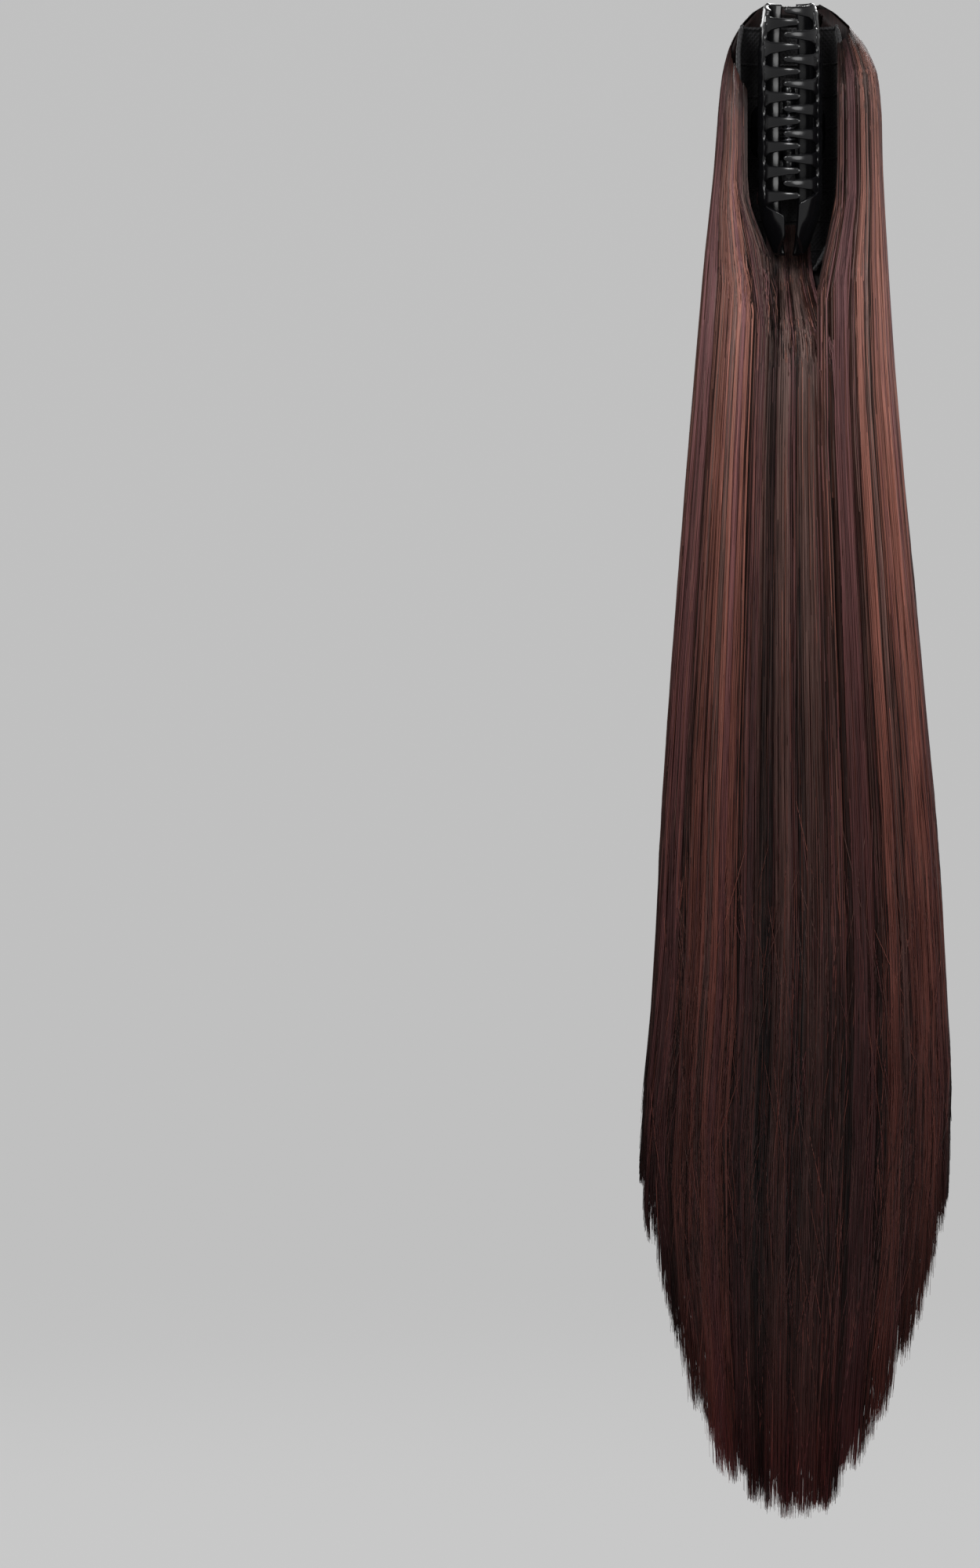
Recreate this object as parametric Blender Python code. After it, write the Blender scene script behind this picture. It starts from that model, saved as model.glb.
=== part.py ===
"""Claw clip ponytail hairpiece, hanging as it is worn, in metres with +Z up.

The origin is the middle of the hollow that the claw grips. The inner side, which lies against the head,
faces -Y, and the hair falls along -Z. Each claw half turns about a vertical pin behind the hollow.
"""

import math

import bmesh
import bpy
import numpy as np

MM = 0.001

# Claw, closed
CLAW_TOP = 41 * MM  # above the origin
CLAW_LENGTH = 98 * MM
CLAW_WIDTH = 25 * MM  # across both halves
CLAW_REACH = 25 * MM  # from the pin's axis to the tooth tips
JAW_WALL = 1.9 * MM
TOOTH_END_WALL = 1.2 * MM
TOOTH_COUNT = 8  # on each half
TOOTH_PITCH = 9.6 * MM
FIRST_TOOTH_DROP = 5 * MM  # from the claw's top to the middle of the highest tooth
TOOTH_ROOT_HEIGHT = 5.8 * MM
TOOTH_TIP_HEIGHT = 2.2 * MM

# Hinge
PIN_BACK = 12 * MM  # pin's axis behind the origin
PIN_RADIUS = 1.0 * MM
KNUCKLE_RADIUS = 2.9 * MM
KNUCKLE_HEIGHT = 5 * MM
SPRING_HEIGHT = 12 * MM
SPRING_WIRE = 0.9 * MM
SPRING_TURNS = 7
LOOP_HEIGHT = 3 * MM  # of the cup's two pin loops
LOOP_WALL = 1.3 * MM
CLEARANCE = 0.3 * MM

# Finger levers
LEVER_LENGTH = 12.5 * MM
LEVER_HEIGHT = 24 * MM
LEVER_ANGLE = math.radians(55)  # from straight back, closed
LEVER_END_SHARE = 0.8  # height of the lever's end, of its own height

# Cup that carries the hair
CUP_WALL = 1.2 * MM
CUP_WIDTH = 39 * MM  # inside
CUP_DEPTH = 17 * MM  # inside, behind the pin's axis
CUP_TOP = 32 * MM  # above the origin
CUP_LENGTH = 94 * MM
CUP_FRONT = 14.5 * MM  # how far its side walls come forward of the pin's axis

# Hair
CROWN_TOP = 42 * MM  # above the origin
HAIR_LENGTH = 593 * MM  # from the crown to the longest tip
HAIR_WIDTH = 121 * MM  # at the fullest part of the fall
SIDE_HAIR = 11 * MM  # mean thickness of the hair beside the cup
HAIR_SIDEWAYS = 3 * MM  # middle of the fall, to the right of the claw's middle
LAYER_PLANE = 15 * MM  # behind the origin, where the outer layer meets the front one
OUTER_DEPTH = 21.5 * MM  # outer layer at its thickest
FRONT_DEPTH = 24 * MM  # front layer at its thickest
LAYER_GAP = 0.4 * MM
LOCK_RELIEF = 2.0 * MM  # how far a lock stands above the groove beside it
TIP_NOTCH = 12 * MM  # how much higher the groove between two locks ends than their tips
HAIR_EDGE = 0.8 * MM  # thickness left at the edges and tips

# Mid-line of a claw half's section. out: share of half the claw's width. ahead: share of the reach.
WALL_SECTION = (
    # out, ahead
    (0.30, 0.055),
    (0.60, 0.100),
    (0.88, 0.215),
    (1.00, 0.400),
    (0.97, 0.560),
    (0.83, 0.710),
)
TOOTH_SECTION = (
    # out, ahead
    (0.62, 0.835),
    (0.34, 0.925),
    (0.02, 0.980),
    (-0.28, 1.000),
)
# A claw half towards its ends. along: share of the claw's length. scale: of the section.
CLAW_TAPER = (
    # along, scale
    (0.00, 0.78),
    (0.10, 0.91),
    (0.24, 1.00),
    (0.76, 1.00),
    (0.86, 0.88),
    (0.94, 0.66),
    (1.00, 0.44),
)
# The cup. along: share of its length. width, depth and front: shares of the named sizes.
CUP_FORM = (
    # along, width, depth, front
    (0.00, 0.91, 0.28, 0.30),
    (0.05, 0.96, 0.40, 0.50),
    (0.12, 1.00, 0.64, 0.70),
    (0.21, 1.00, 0.92, 0.86),
    (0.30, 1.00, 1.00, 0.96),
    (0.60, 1.00, 1.00, 1.00),
    (0.74, 0.98, 0.90, 1.00),
    (0.86, 0.84, 0.64, 0.92),
    (0.94, 0.66, 0.42, 0.80),
    (1.00, 0.50, 0.28, 0.66),
)
# The hair's outline. along: share of its length. crown: share of the width round the cup. spread: share
# of what the fullest part adds to that width. shift: share of the hair's width, to the right.
# outer, front: shares of the two depths.
HAIR_FORM = (
    # along, crown, spread, shift, outer, front
    (0.000, 0.30, 0.00, -0.010, 0.26, 0.10),
    (0.007, 0.51, 0.00, -0.008, 0.45, 0.26),
    (0.018, 0.70, 0.00, -0.002, 0.62, 0.44),
    (0.032, 0.85, 0.00, 0.006, 0.77, 0.68),
    (0.052, 0.955, 0.00, 0.012, 0.92, 0.90),
    (0.085, 1.00, 0.00, 0.011, 1.00, 0.98),
    (0.130, 1.00, 0.06, 0.004, 0.99, 1.00),
    (0.175, 1.00, 0.14, -0.001, 0.88, 0.98),
    (0.215, 1.00, 0.20, -0.003, 0.76, 0.92),
    (0.280, 1.00, 0.30, -0.006, 0.64, 0.80),
    (0.360, 1.00, 0.45, -0.001, 0.55, 0.66),
    (0.460, 1.00, 0.62, 0.003, 0.49, 0.56),
    (0.560, 1.00, 0.78, 0.010, 0.46, 0.50),
    (0.650, 1.00, 0.87, 0.014, 0.45, 0.47),
    (0.740, 1.00, 1.00, -0.001, 0.43, 0.45),
    (0.800, 1.00, 0.97, -0.008, 0.39, 0.41),
    (0.870, 1.00, 0.83, -0.010, 0.31, 0.33),
    (0.940, 1.00, 0.66, -0.014, 0.20, 0.22),
    (1.000, 1.00, 0.53, -0.018, 0.12, 0.14),
)
# Locks across each layer, left to right. start, end: shares of half the width, from the middle.
# tip: share of the hair's length. lift: share of the relief that it stands proud.
CROWN_LOCKS = (
    # start, end, tip, lift
    (-1.00, -0.80, 0.856, -0.5),
    (-0.80, -0.60, 0.942, 0.4),
    (-0.60, -0.38, 0.978, -0.1),
    (-0.38, -0.17, 0.992, 0.7),
    (-0.17, 0.03, 0.998, 0.0),
    (0.03, 0.24, 1.000, 0.6),
    (0.24, 0.44, 0.990, -0.2),
    (0.44, 0.65, 0.966, 0.5),
    (0.65, 0.83, 0.922, 0.0),
    (0.83, 1.00, 0.854, -0.5),
)
LEFT_LOCKS = (
    (-1.00, -0.84, 0.846, -0.4),
    (-0.84, -0.66, 0.926, 0.5),
    (-0.66, -0.42, 0.974, 0.0),
)
INNER_LOCKS = (
    (-0.42, -0.22, 0.988, -0.2),
    (-0.22, 0.00, 0.997, 0.5),
    (0.00, 0.20, 1.000, -0.3),
    (0.20, 0.42, 0.991, 0.4),
)
RIGHT_LOCKS = (
    (0.42, 0.64, 0.968, 0.6),
    (0.64, 0.83, 0.926, 0.0),
    (0.83, 1.00, 0.850, -0.4),
)
LOCK_STEPS = 4  # faces across a lock
LOCK_ROUNDNESS = 0.7  # under 1 is fuller than a sine
SIDE_START_LEFT = 0.036  # share of the hair's length where each front piece starts
SIDE_START_RIGHT = 0.020
INNER_RISE = 0.05  # share of the length over which the inner hair comes up to the front
OUTLINE_POWER = 2.6  # fullness of the hair's oval section
CUP_POWER = 3.2  # squareness of the cup's section
HAIR_ROWS = (0.0, 0.006, 0.014, 0.026, 0.044, 0.07, 0.11, 0.16, 0.21, 0.28, 0.37, 0.47, 0.57, 0.66,
             0.74, 0.81, 0.87, 0.925, 0.97, 1.0)  # shares of a lock, from its start to its tip


def clear_scene():
    for thing in list(bpy.data.objects):
        bpy.data.objects.remove(thing, do_unlink=True)


def material(name, colour, roughness, metallic=0.0):
    made = bpy.data.materials.new(name)
    made.use_nodes = True
    shader = made.node_tree.nodes["Principled BSDF"]
    shader.inputs["Base Color"].default_value = (*colour, 1.0)
    shader.inputs["Roughness"].default_value = roughness
    shader.inputs["Metallic"].default_value = metallic
    return made


def add_object(name, mesh, finish=None):
    thing = bpy.data.objects.new(name, mesh)
    bpy.context.collection.objects.link(thing)
    if finish:
        mesh.materials.clear()
        mesh.materials.append(finish)
    return thing


def smooth_between(table, column, share):
    """Reads a column of a table at share, on a curve through its rows that doesn't overshoot them."""
    places = np.array([row[0] for row in table])
    values = np.array([row[column] for row in table])
    steps = np.diff(values) / np.diff(places)
    slopes = np.concatenate([[steps[0]], np.where(steps[:-1] * steps[1:] > 0,
                             2 * steps[:-1] * steps[1:] / (steps[:-1] + steps[1:] + 1e-12), 0.0),
                             [steps[-1]]])
    share = np.clip(share, places[0], places[-1])
    left = np.clip(np.searchsorted(places, share, side="right") - 1, 0, len(places) - 2)
    gap = places[left + 1] - places[left]
    u = (share - places[left]) / gap
    return ((2 * u**3 - 3 * u**2 + 1) * values[left] + (u**3 - 2 * u**2 + u) * gap * slopes[left]
            + (3 * u**2 - 2 * u**3) * values[left + 1] + (u**3 - u**2) * gap * slopes[left + 1])


def ease(low, high, value):
    """0 below low, 1 above high and smooth between."""
    u = np.clip((value - low) / (high - low), 0.0, 1.0)
    return u * u * (3 - 2 * u)


def solid_from_sheets(name, front, back, kept, finish):
    """Joins two grids of points, rows by columns by 3, into one closed wall over the kept cells."""
    rows, columns = front.shape[:2]
    mesh_maker = bmesh.new()
    sheets = []
    for sheet in (front, back):
        sheets.append([[None] * columns for _ in range(rows)])
        for i in range(rows):
            for j in range(columns):
                around = kept[max(i - 1, 0):i + 1, max(j - 1, 0):j + 1]
                if around.any():
                    sheets[-1][i][j] = mesh_maker.verts.new(sheet[i, j])
    near, far = sheets

    def is_kept(i, j):
        return 0 <= i < rows - 1 and 0 <= j < columns - 1 and kept[i, j]

    for i in range(rows - 1):
        for j in range(columns - 1):
            if not kept[i, j]:
                continue
            ring = ((i, j), (i, j + 1), (i + 1, j + 1), (i + 1, j))
            mesh_maker.faces.new([near[a][b] for a, b in ring])
            mesh_maker.faces.new([far[a][b] for a, b in reversed(ring)])
            beside = ((i - 1, j), (i, j + 1), (i + 1, j), (i, j - 1))
            for k, (a, b) in enumerate(beside):
                if not is_kept(a, b):
                    (p, q), (r, s) = ring[k], ring[(k + 1) % 4]
                    mesh_maker.faces.new([near[r][s], near[p][q], far[p][q], far[r][s]])
    bmesh.ops.recalc_face_normals(mesh_maker, faces=mesh_maker.faces)
    mesh = bpy.data.meshes.new(name)
    mesh_maker.to_mesh(mesh)
    mesh_maker.free()
    return add_object(name, mesh, finish)


def block(low, high):
    """A plain box between two corners, for joining or cutting."""
    mesh_maker = bmesh.new()
    bmesh.ops.create_cube(mesh_maker, size=1.0)
    size = np.subtract(high, low)
    middle = np.add(high, low) / 2
    for vertex in mesh_maker.verts:
        vertex.co = [middle[k] + vertex.co[k] * size[k] for k in range(3)]
    mesh = bpy.data.meshes.new("block")
    mesh_maker.to_mesh(mesh)
    mesh_maker.free()
    return add_object("block", mesh)


def rod(radius, bottom, top, sides=24):
    """An upright cylinder on the pin's axis."""
    mesh_maker = bmesh.new()
    bmesh.ops.create_cone(mesh_maker, cap_ends=True, segments=sides, radius1=radius, radius2=radius,
                          depth=top - bottom)
    for vertex in mesh_maker.verts:
        vertex.co = (vertex.co.x, vertex.co.y + PIN_BACK, vertex.co.z + (top + bottom) / 2)
    mesh = bpy.data.meshes.new("rod")
    mesh_maker.to_mesh(mesh)
    mesh_maker.free()
    return add_object("rod", mesh)


def combine(body, others, operation):
    """Joins others to body, or cuts them out of it, and keeps the result as body's own mesh."""
    for other in others:
        step = body.modifiers.new("step", "BOOLEAN")
        step.operation = operation
        step.solver = "EXACT"
        step.object = other
        bpy.context.view_layer.update()
        shaped = body.evaluated_get(bpy.context.evaluated_depsgraph_get())
        mesh = bpy.data.meshes.new_from_object(shaped)
        body.modifiers.clear()
        body.data = mesh
        bpy.data.objects.remove(other, do_unlink=True)
    return body


def shade(thing, angle=40):
    thing.data.shade_smooth()
    thing.data.set_sharp_from_angle(angle=math.radians(angle))


# Heights along the pin, from the middle of the claw outwards: spring, knuckles and cup loops


def claw_middle():
    return CLAW_TOP - CLAW_LENGTH / 2


def knuckle_spans(side):
    """Bottom and top of the two knuckles of a claw half, side 1 for right and -1 for left."""
    inner = SPRING_HEIGHT / 2 + CLEARANCE
    outer = inner + KNUCKLE_HEIGHT + CLEARANCE
    upper, lower = (outer, inner) if side > 0 else (inner, outer)
    middle = claw_middle()
    return ((middle + upper, middle + upper + KNUCKLE_HEIGHT),
            (middle - lower - KNUCKLE_HEIGHT, middle - lower))


def loop_spans():
    """Bottom and top of the cup's two pin loops."""
    start = SPRING_HEIGHT / 2 + 2 * KNUCKLE_HEIGHT + 3 * CLEARANCE
    middle = claw_middle()
    return ((middle + start, middle + start + LOOP_HEIGHT),
            (middle - start - LOOP_HEIGHT, middle - start))


def jaw_columns(side):
    """Heights of a claw half's columns, from its top down, and the columns that each tooth takes."""
    drop = FIRST_TOOTH_DROP + (0 if side > 0 else TOOTH_PITCH / 2)
    teeth = [CLAW_TOP - drop - k * TOOTH_PITCH for k in range(TOOTH_COUNT)]
    heights, tooth_at = [CLAW_TOP], {}
    if drop > TOOTH_PITCH / 2:
        heights.append(CLAW_TOP - (drop - TOOTH_ROOT_HEIGHT / 2) / 2)
    for middle in teeth:
        tooth_at[len(heights)] = middle
        heights += [middle + TOOTH_ROOT_HEIGHT / 2, middle, middle - TOOTH_ROOT_HEIGHT / 2]
    bottom = CLAW_TOP - CLAW_LENGTH
    last = heights[-1]
    heights += [last + (bottom - last) * share for share in (0.25, 0.5, 0.72, 0.88, 1.0)]
    return np.array(heights), tooth_at


def jaw_section():
    """Mid-line of a claw half, lever first, and its wall: points as (out, ahead of the pin's axis)."""
    half_width = (CLAW_WIDTH - JAW_WALL) / 2
    wall = [(out * half_width, ahead * CLAW_REACH) for out, ahead in WALL_SECTION]
    teeth = [(out * half_width, ahead * CLAW_REACH) for out, ahead in TOOTH_SECTION]
    lever_root = np.array([KNUCKLE_RADIUS + CLEARANCE + JAW_WALL / 2, -CLEARANCE])
    direction = np.array([math.sin(LEVER_ANGLE), -math.cos(LEVER_ANGLE)])
    lever = [lever_root + direction * LEVER_LENGTH * share for share in (1.0, 0.94, 0.5, 0.08)]
    return np.array([*lever, *wall, *teeth]), len(lever), len(lever) + len(wall)


def make_jaw(name, side, finish):
    """One claw half: a wall over a grid of section rows and height columns, with gaps left between
    the teeth, rows of lever only at mid-height, and two knuckles joined on and bored for the pin."""
    section, wall_start, tooth_start = jaw_section()
    heights, tooth_at = jaw_columns(side)
    rows, columns = len(section), len(heights)

    along = (CLAW_TOP - heights) / CLAW_LENGTH
    taper = smooth_between(CLAW_TAPER, 1, along)
    tangent = np.gradient(section, axis=0)
    tangent /= np.linalg.norm(tangent, axis=1)[:, None]
    normal = np.stack([tangent[:, 1], -tangent[:, 0]], axis=1)
    row_share = np.clip((np.arange(rows) - tooth_start + 1) / (rows - tooth_start), 0.0, 1.0)
    half_wall = (JAW_WALL + (TOOTH_END_WALL - JAW_WALL) * row_share) / 2

    z = np.tile(heights, (rows, 1))
    root, tip = TOOTH_ROOT_HEIGHT / 2, TOOTH_TIP_HEIGHT / 2
    for first, middle in tooth_at.items():
        narrow = root + (tip - root) * row_share
        z[:, first] = middle + narrow
        z[:, first + 2] = middle - narrow
    z[0] = claw_middle() + (z[0] - claw_middle()) * LEVER_END_SHARE

    kept = np.ones((rows - 1, columns - 1), bool)
    in_lever = np.abs(heights - claw_middle()) < LEVER_HEIGHT / 2
    kept[:wall_start] = (in_lever[:-1] & in_lever[1:])[None, :]
    in_tooth = np.zeros(columns - 1, bool)
    for first in tooth_at:
        in_tooth[first:first + 2] = True
    kept[tooth_start - 1:] = in_tooth[None, :]
    lobe = np.arange(columns - 1) >= columns - 5
    kept[tooth_start - 1:-2, lobe] = True

    scale = np.where(np.arange(rows)[:, None] < wall_start, 1.0, taper[None, :])
    sheets = []
    for direction in (1, -1):
        points = section[:, None, :] * scale[:, :, None]
        points = points + direction * (normal * half_wall[:, None])[:, None, :]
        sheets.append(np.stack([side * points[..., 0], PIN_BACK - points[..., 1], z], axis=-1))
    jaw = solid_from_sheets(name, sheets[0], sheets[1], kept, finish)

    web = KNUCKLE_RADIUS + CLEARANCE + JAW_WALL / 2
    for bottom, top in knuckle_spans(side):
        ends = sorted((0.0, side * web))
        bridge = block((ends[0], PIN_BACK - JAW_WALL, bottom), (ends[1], PIN_BACK + JAW_WALL / 2, top))
        combine(jaw, [bridge, rod(KNUCKLE_RADIUS, bottom, top)], "UNION")
    bore = rod(PIN_RADIUS + CLEARANCE, CLAW_TOP - CLAW_LENGTH, CLAW_TOP)
    combine(jaw, [bore], "DIFFERENCE")
    shade(jaw)
    return jaw


def make_pin(finish):
    (_, top), (bottom, _) = loop_spans()
    pin = rod(PIN_RADIUS, bottom, top, sides=16)
    pin.name = "hinge_pin"
    pin.data.materials.append(finish)
    shade(pin)
    return pin


def make_spring(finish):
    """A coil round the pin: a ring of 6 points carried along a helix."""
    radius = KNUCKLE_RADIUS - SPRING_WIRE / 2
    height = SPRING_HEIGHT - 2 * SPRING_WIRE
    steps = SPRING_TURNS * 12 + 1
    turn = np.linspace(0, SPRING_TURNS * 2 * math.pi, steps)
    climb = height / (SPRING_TURNS * 2 * math.pi)
    centre = np.stack([radius * np.cos(turn), PIN_BACK + radius * np.sin(turn),
                       claw_middle() - height / 2 + climb * turn], axis=1)
    outward = np.stack([np.cos(turn), np.sin(turn), np.zeros(steps)], axis=1)
    forward = np.stack([-radius * np.sin(turn), radius * np.cos(turn), np.full(steps, climb)], axis=1)
    forward /= np.linalg.norm(forward, axis=1)[:, None]
    upward = np.cross(outward, forward)
    mesh_maker = bmesh.new()
    rings = []
    for k in range(steps):
        ring = []
        for side in range(6):
            angle = side * math.pi / 3
            lean = outward[k] * math.cos(angle) + upward[k] * math.sin(angle)
            ring.append(mesh_maker.verts.new(centre[k] + lean * SPRING_WIRE / 2))
        rings.append(ring)
    for low, high in zip(rings, rings[1:]):
        for side in range(6):
            after = (side + 1) % 6
            mesh_maker.faces.new([low[side], low[after], high[after], high[side]])
    mesh_maker.faces.new(rings[0])
    mesh_maker.faces.new(rings[-1])
    bmesh.ops.recalc_face_normals(mesh_maker, faces=mesh_maker.faces)
    mesh = bpy.data.meshes.new("return_spring")
    mesh_maker.to_mesh(mesh)
    mesh_maker.free()
    spring = add_object("return_spring", mesh, finish)
    shade(spring)
    return spring


def cup_sheet(extra, columns=24):
    """A grid of points on the cup's inner face moved outward by extra. Each row is a squarish arch:
    from the left front edge round the back to the right front edge."""
    shares = np.array([row[0] for row in CUP_FORM])
    z = CUP_TOP - CUP_LENGTH * shares
    half = smooth_between(CUP_FORM, 1, shares) * CUP_WIDTH / 2 + extra
    depth = smooth_between(CUP_FORM, 2, shares) * CUP_DEPTH + extra
    front = smooth_between(CUP_FORM, 3, shares) * CUP_FRONT
    straight = 4
    angle = np.linspace(0, math.pi, columns - 2 * straight + 1)
    arch_x = -np.sign(np.cos(angle)) * np.abs(np.cos(angle)) ** (2 / CUP_POWER)
    arch_y = np.sin(angle) ** (2 / CUP_POWER)
    lead = np.linspace(1, 0, straight + 1)[:-1]
    x = np.concatenate([-np.ones(straight), arch_x, np.ones(straight)])
    y_arch = np.concatenate([np.zeros(straight), arch_y, np.zeros(straight)])
    y_front = np.concatenate([lead, np.zeros(len(angle)), lead[::-1]])
    points = np.zeros((len(shares), len(x), 3))
    points[..., 0] = half[:, None] * x[None, :]
    points[..., 1] = PIN_BACK + depth[:, None] * y_arch[None, :] - front[:, None] * y_front[None, :]
    points[..., 2] = z[:, None]
    return points


def make_cup(finish):
    """The thin trough round the claw, with two loops that hold the ends of the pin."""
    inside, outside = cup_sheet(0.0), cup_sheet(CUP_WALL)
    kept = np.ones((inside.shape[0] - 1, inside.shape[1] - 1), bool)
    cup = solid_from_sheets("weft_cup", outside, inside, kept, finish)
    for bottom, top in loop_spans():
        ends = (CUP_TOP - np.array([bottom, top])) / CUP_LENGTH
        reach = smooth_between(CUP_FORM, 2, ends).min() * CUP_DEPTH + CUP_WALL / 2
        strap = block((-LOOP_WALL, PIN_BACK + PIN_RADIUS, bottom), (LOOP_WALL, PIN_BACK + reach, top))
        combine(cup, [strap, rod(PIN_RADIUS + CLEARANCE + LOOP_WALL, bottom, top)], "UNION")
        combine(cup, [rod(PIN_RADIUS + CLEARANCE, bottom - LOOP_HEIGHT, top + LOOP_HEIGHT)],
                "DIFFERENCE")
    shade(cup)
    return cup


def cup_space():
    """The space that the cup and what it holds take up, filled to well in front of the hair."""
    arch = cup_sheet(CUP_WALL + CLEARANCE)
    above, below = arch[:1].copy(), arch[-1:].copy()
    above[..., 2] += CLEARANCE
    below[..., 2] -= CLEARANCE
    arch = np.concatenate([above, arch, below])
    front = arch.copy()
    front[..., 1] = -(FRONT_DEPTH + PIN_BACK)
    kept = np.ones((arch.shape[0] - 1, arch.shape[1] - 1), bool)
    return solid_from_sheets("cup_space", arch, front, kept, None)


def lock_columns(locks):
    """For each column of a layer: its place across, its tip and its height above the mean surface.
    Across a lock both rise and fall as a sine, and two locks share the groove between them."""
    notch = TIP_NOTCH / HAIR_LENGTH
    place, tip, lift = [], [], []
    for start, end, lock_tip, lock_lift in locks:
        for step in range(LOCK_STEPS + 1):
            share = step / LOCK_STEPS
            bulge = math.sin(math.pi * share) ** LOCK_ROUNDNESS
            tip_here = lock_tip - notch * (1 - bulge)
            if place and step == 0:
                tip[-1] = min(tip[-1], tip_here)
                continue
            place.append(start + (end - start) * share)
            tip.append(tip_here)
            lift.append(-0.5 + bulge * (0.75 + lock_lift / 2))
    return np.array(place), np.array(tip), np.array(lift)


def make_hair(name, side, locks, start, finish, rise=0.0):
    """One layer of locks fused to a flat backing at the layer plane. side is 1 for the outer layer
    and -1 for the front ones. Each column runs from start to its own tip, along the hair's outline."""
    place, tip, lift = lock_columns(locks)
    run = np.array(HAIR_ROWS)[:, None]
    along = start + (tip[None, :] - start) * run
    crown_width = CUP_WIDTH + 2 * (CUP_WALL + CLEARANCE + SIDE_HAIR)
    width = (smooth_between(HAIR_FORM, 1, along) * crown_width
             + smooth_between(HAIR_FORM, 2, along) * (HAIR_WIDTH - crown_width)) / 2
    middle = HAIR_SIDEWAYS + smooth_between(HAIR_FORM, 3, along) * HAIR_WIDTH
    column, full = (4, OUTER_DEPTH) if side > 0 else (5, FRONT_DEPTH)
    depth = smooth_between(HAIR_FORM, column, along) * full
    oval = (1 - np.abs(place) ** OUTLINE_POWER) ** (1 / OUTLINE_POWER)
    thick = depth * oval[None, :] + lift[None, :] * LOCK_RELIEF * ease(0.0, 0.06, along)
    thick = thick * (1 - 0.75 * ease(0.80, 1.0, run))
    if rise:
        thick = thick * (0.35 + 0.65 * ease(start, start + rise, along))
    thick = np.maximum(thick, HAIR_EDGE)

    x = middle + place[None, :] * width
    x[:, 0] += LAYER_GAP / 2
    x[:, -1] -= LAYER_GAP / 2
    z = CROWN_TOP - HAIR_LENGTH * along
    plane = LAYER_PLANE + side * LAYER_GAP / 2
    backing = np.stack([x, np.full_like(x, plane), z], axis=-1)
    surface = np.stack([x, plane + side * thick, z], axis=-1)
    kept = np.ones((len(HAIR_ROWS) - 1, len(place) - 1), bool)
    return solid_from_sheets(name, surface, backing, kept, finish)


def make_hair_pieces(finish):
    crown = make_hair("crown_hair", 1, CROWN_LOCKS, 0.0, finish)
    left = make_hair("side_hair_left", -1, LEFT_LOCKS, SIDE_START_LEFT, finish)
    right = make_hair("side_hair_right", -1, RIGHT_LOCKS, SIDE_START_RIGHT, finish)
    for hair in (crown, left, right):
        combine(hair, [cup_space()], "DIFFERENCE")
        shade(hair, 60)
    below_cup = (CROWN_TOP - CUP_TOP + CUP_LENGTH + CLEARANCE) / HAIR_LENGTH
    shade(make_hair("inner_hair", -1, INNER_LOCKS, below_cup, finish, INNER_RISE), 60)


def main():
    clear_scene()
    black_plastic = material("black_abs", (0.012, 0.012, 0.015), 0.22)
    black_net = material("black_base_net", (0.015, 0.013, 0.015), 0.7)
    steel = material("spring_steel", (0.35, 0.35, 0.37), 0.35, 1.0)
    hair_fibre = material("brown_hair_fibre", (0.045, 0.018, 0.016), 0.42)
    make_jaw("jaw_right", 1, black_plastic)
    make_jaw("jaw_left", -1, black_plastic)
    make_pin(steel)
    make_spring(steel)
    make_cup(black_net)
    make_hair_pieces(hair_fibre)


main()
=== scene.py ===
import math
import bpy
import numpy as np
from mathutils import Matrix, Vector


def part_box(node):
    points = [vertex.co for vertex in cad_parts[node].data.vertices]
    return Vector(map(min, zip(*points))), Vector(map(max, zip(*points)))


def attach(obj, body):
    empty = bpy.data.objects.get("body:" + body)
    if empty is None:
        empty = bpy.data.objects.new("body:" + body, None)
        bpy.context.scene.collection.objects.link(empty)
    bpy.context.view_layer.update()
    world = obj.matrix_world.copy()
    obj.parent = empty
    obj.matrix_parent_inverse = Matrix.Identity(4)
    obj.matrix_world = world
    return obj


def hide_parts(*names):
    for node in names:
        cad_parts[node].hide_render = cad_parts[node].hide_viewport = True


# Claw clip ponytail hairpiece, hanging: locks of fine brown fibre, a glossy black claw, a black net base
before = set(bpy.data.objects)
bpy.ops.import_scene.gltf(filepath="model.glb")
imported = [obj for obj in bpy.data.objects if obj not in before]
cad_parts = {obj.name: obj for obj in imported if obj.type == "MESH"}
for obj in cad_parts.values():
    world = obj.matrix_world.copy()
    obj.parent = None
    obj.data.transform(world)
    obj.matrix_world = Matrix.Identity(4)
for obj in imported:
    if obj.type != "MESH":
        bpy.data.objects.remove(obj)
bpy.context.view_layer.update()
mm = 0.001
pinBack = 12 * mm  # the hinge pin's axis, behind the origin


# Small tools

# Turns an sRGB hex colour to the linear one that shaders take
def linear(text):
    parts = [int(text[k:k + 2], 16) / 255 for k in (1, 3, 5)]
    return (*[c / 12.92 if c <= 0.04045 else ((c + 0.055) / 1.055) ** 2.4 for c in parts], 1.0)


# 0 below low, 1 above high, and smooth between
def ease(low, high, value):
    u = np.clip((value - low) / (high - low), 0.0, 1.0)
    return u * u * (3 - 2 * u)


# Shares from 0 to 1 that crowd towards both ends
def crowded(count):
    return (1 - np.cos(np.linspace(0, math.pi, count))) / 2


# A value to a power, with its sign kept
def signedPower(value, power):
    return np.sign(value) * np.abs(value) ** power


# Rounds an edge like half a circle: distance is how far a point is from the edge
def roundEdge(distance, radius, least=0.02):
    return np.sqrt(np.maximum(1 - (1 - np.clip(distance / radius, 0, 1)) ** 2, least))


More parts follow.
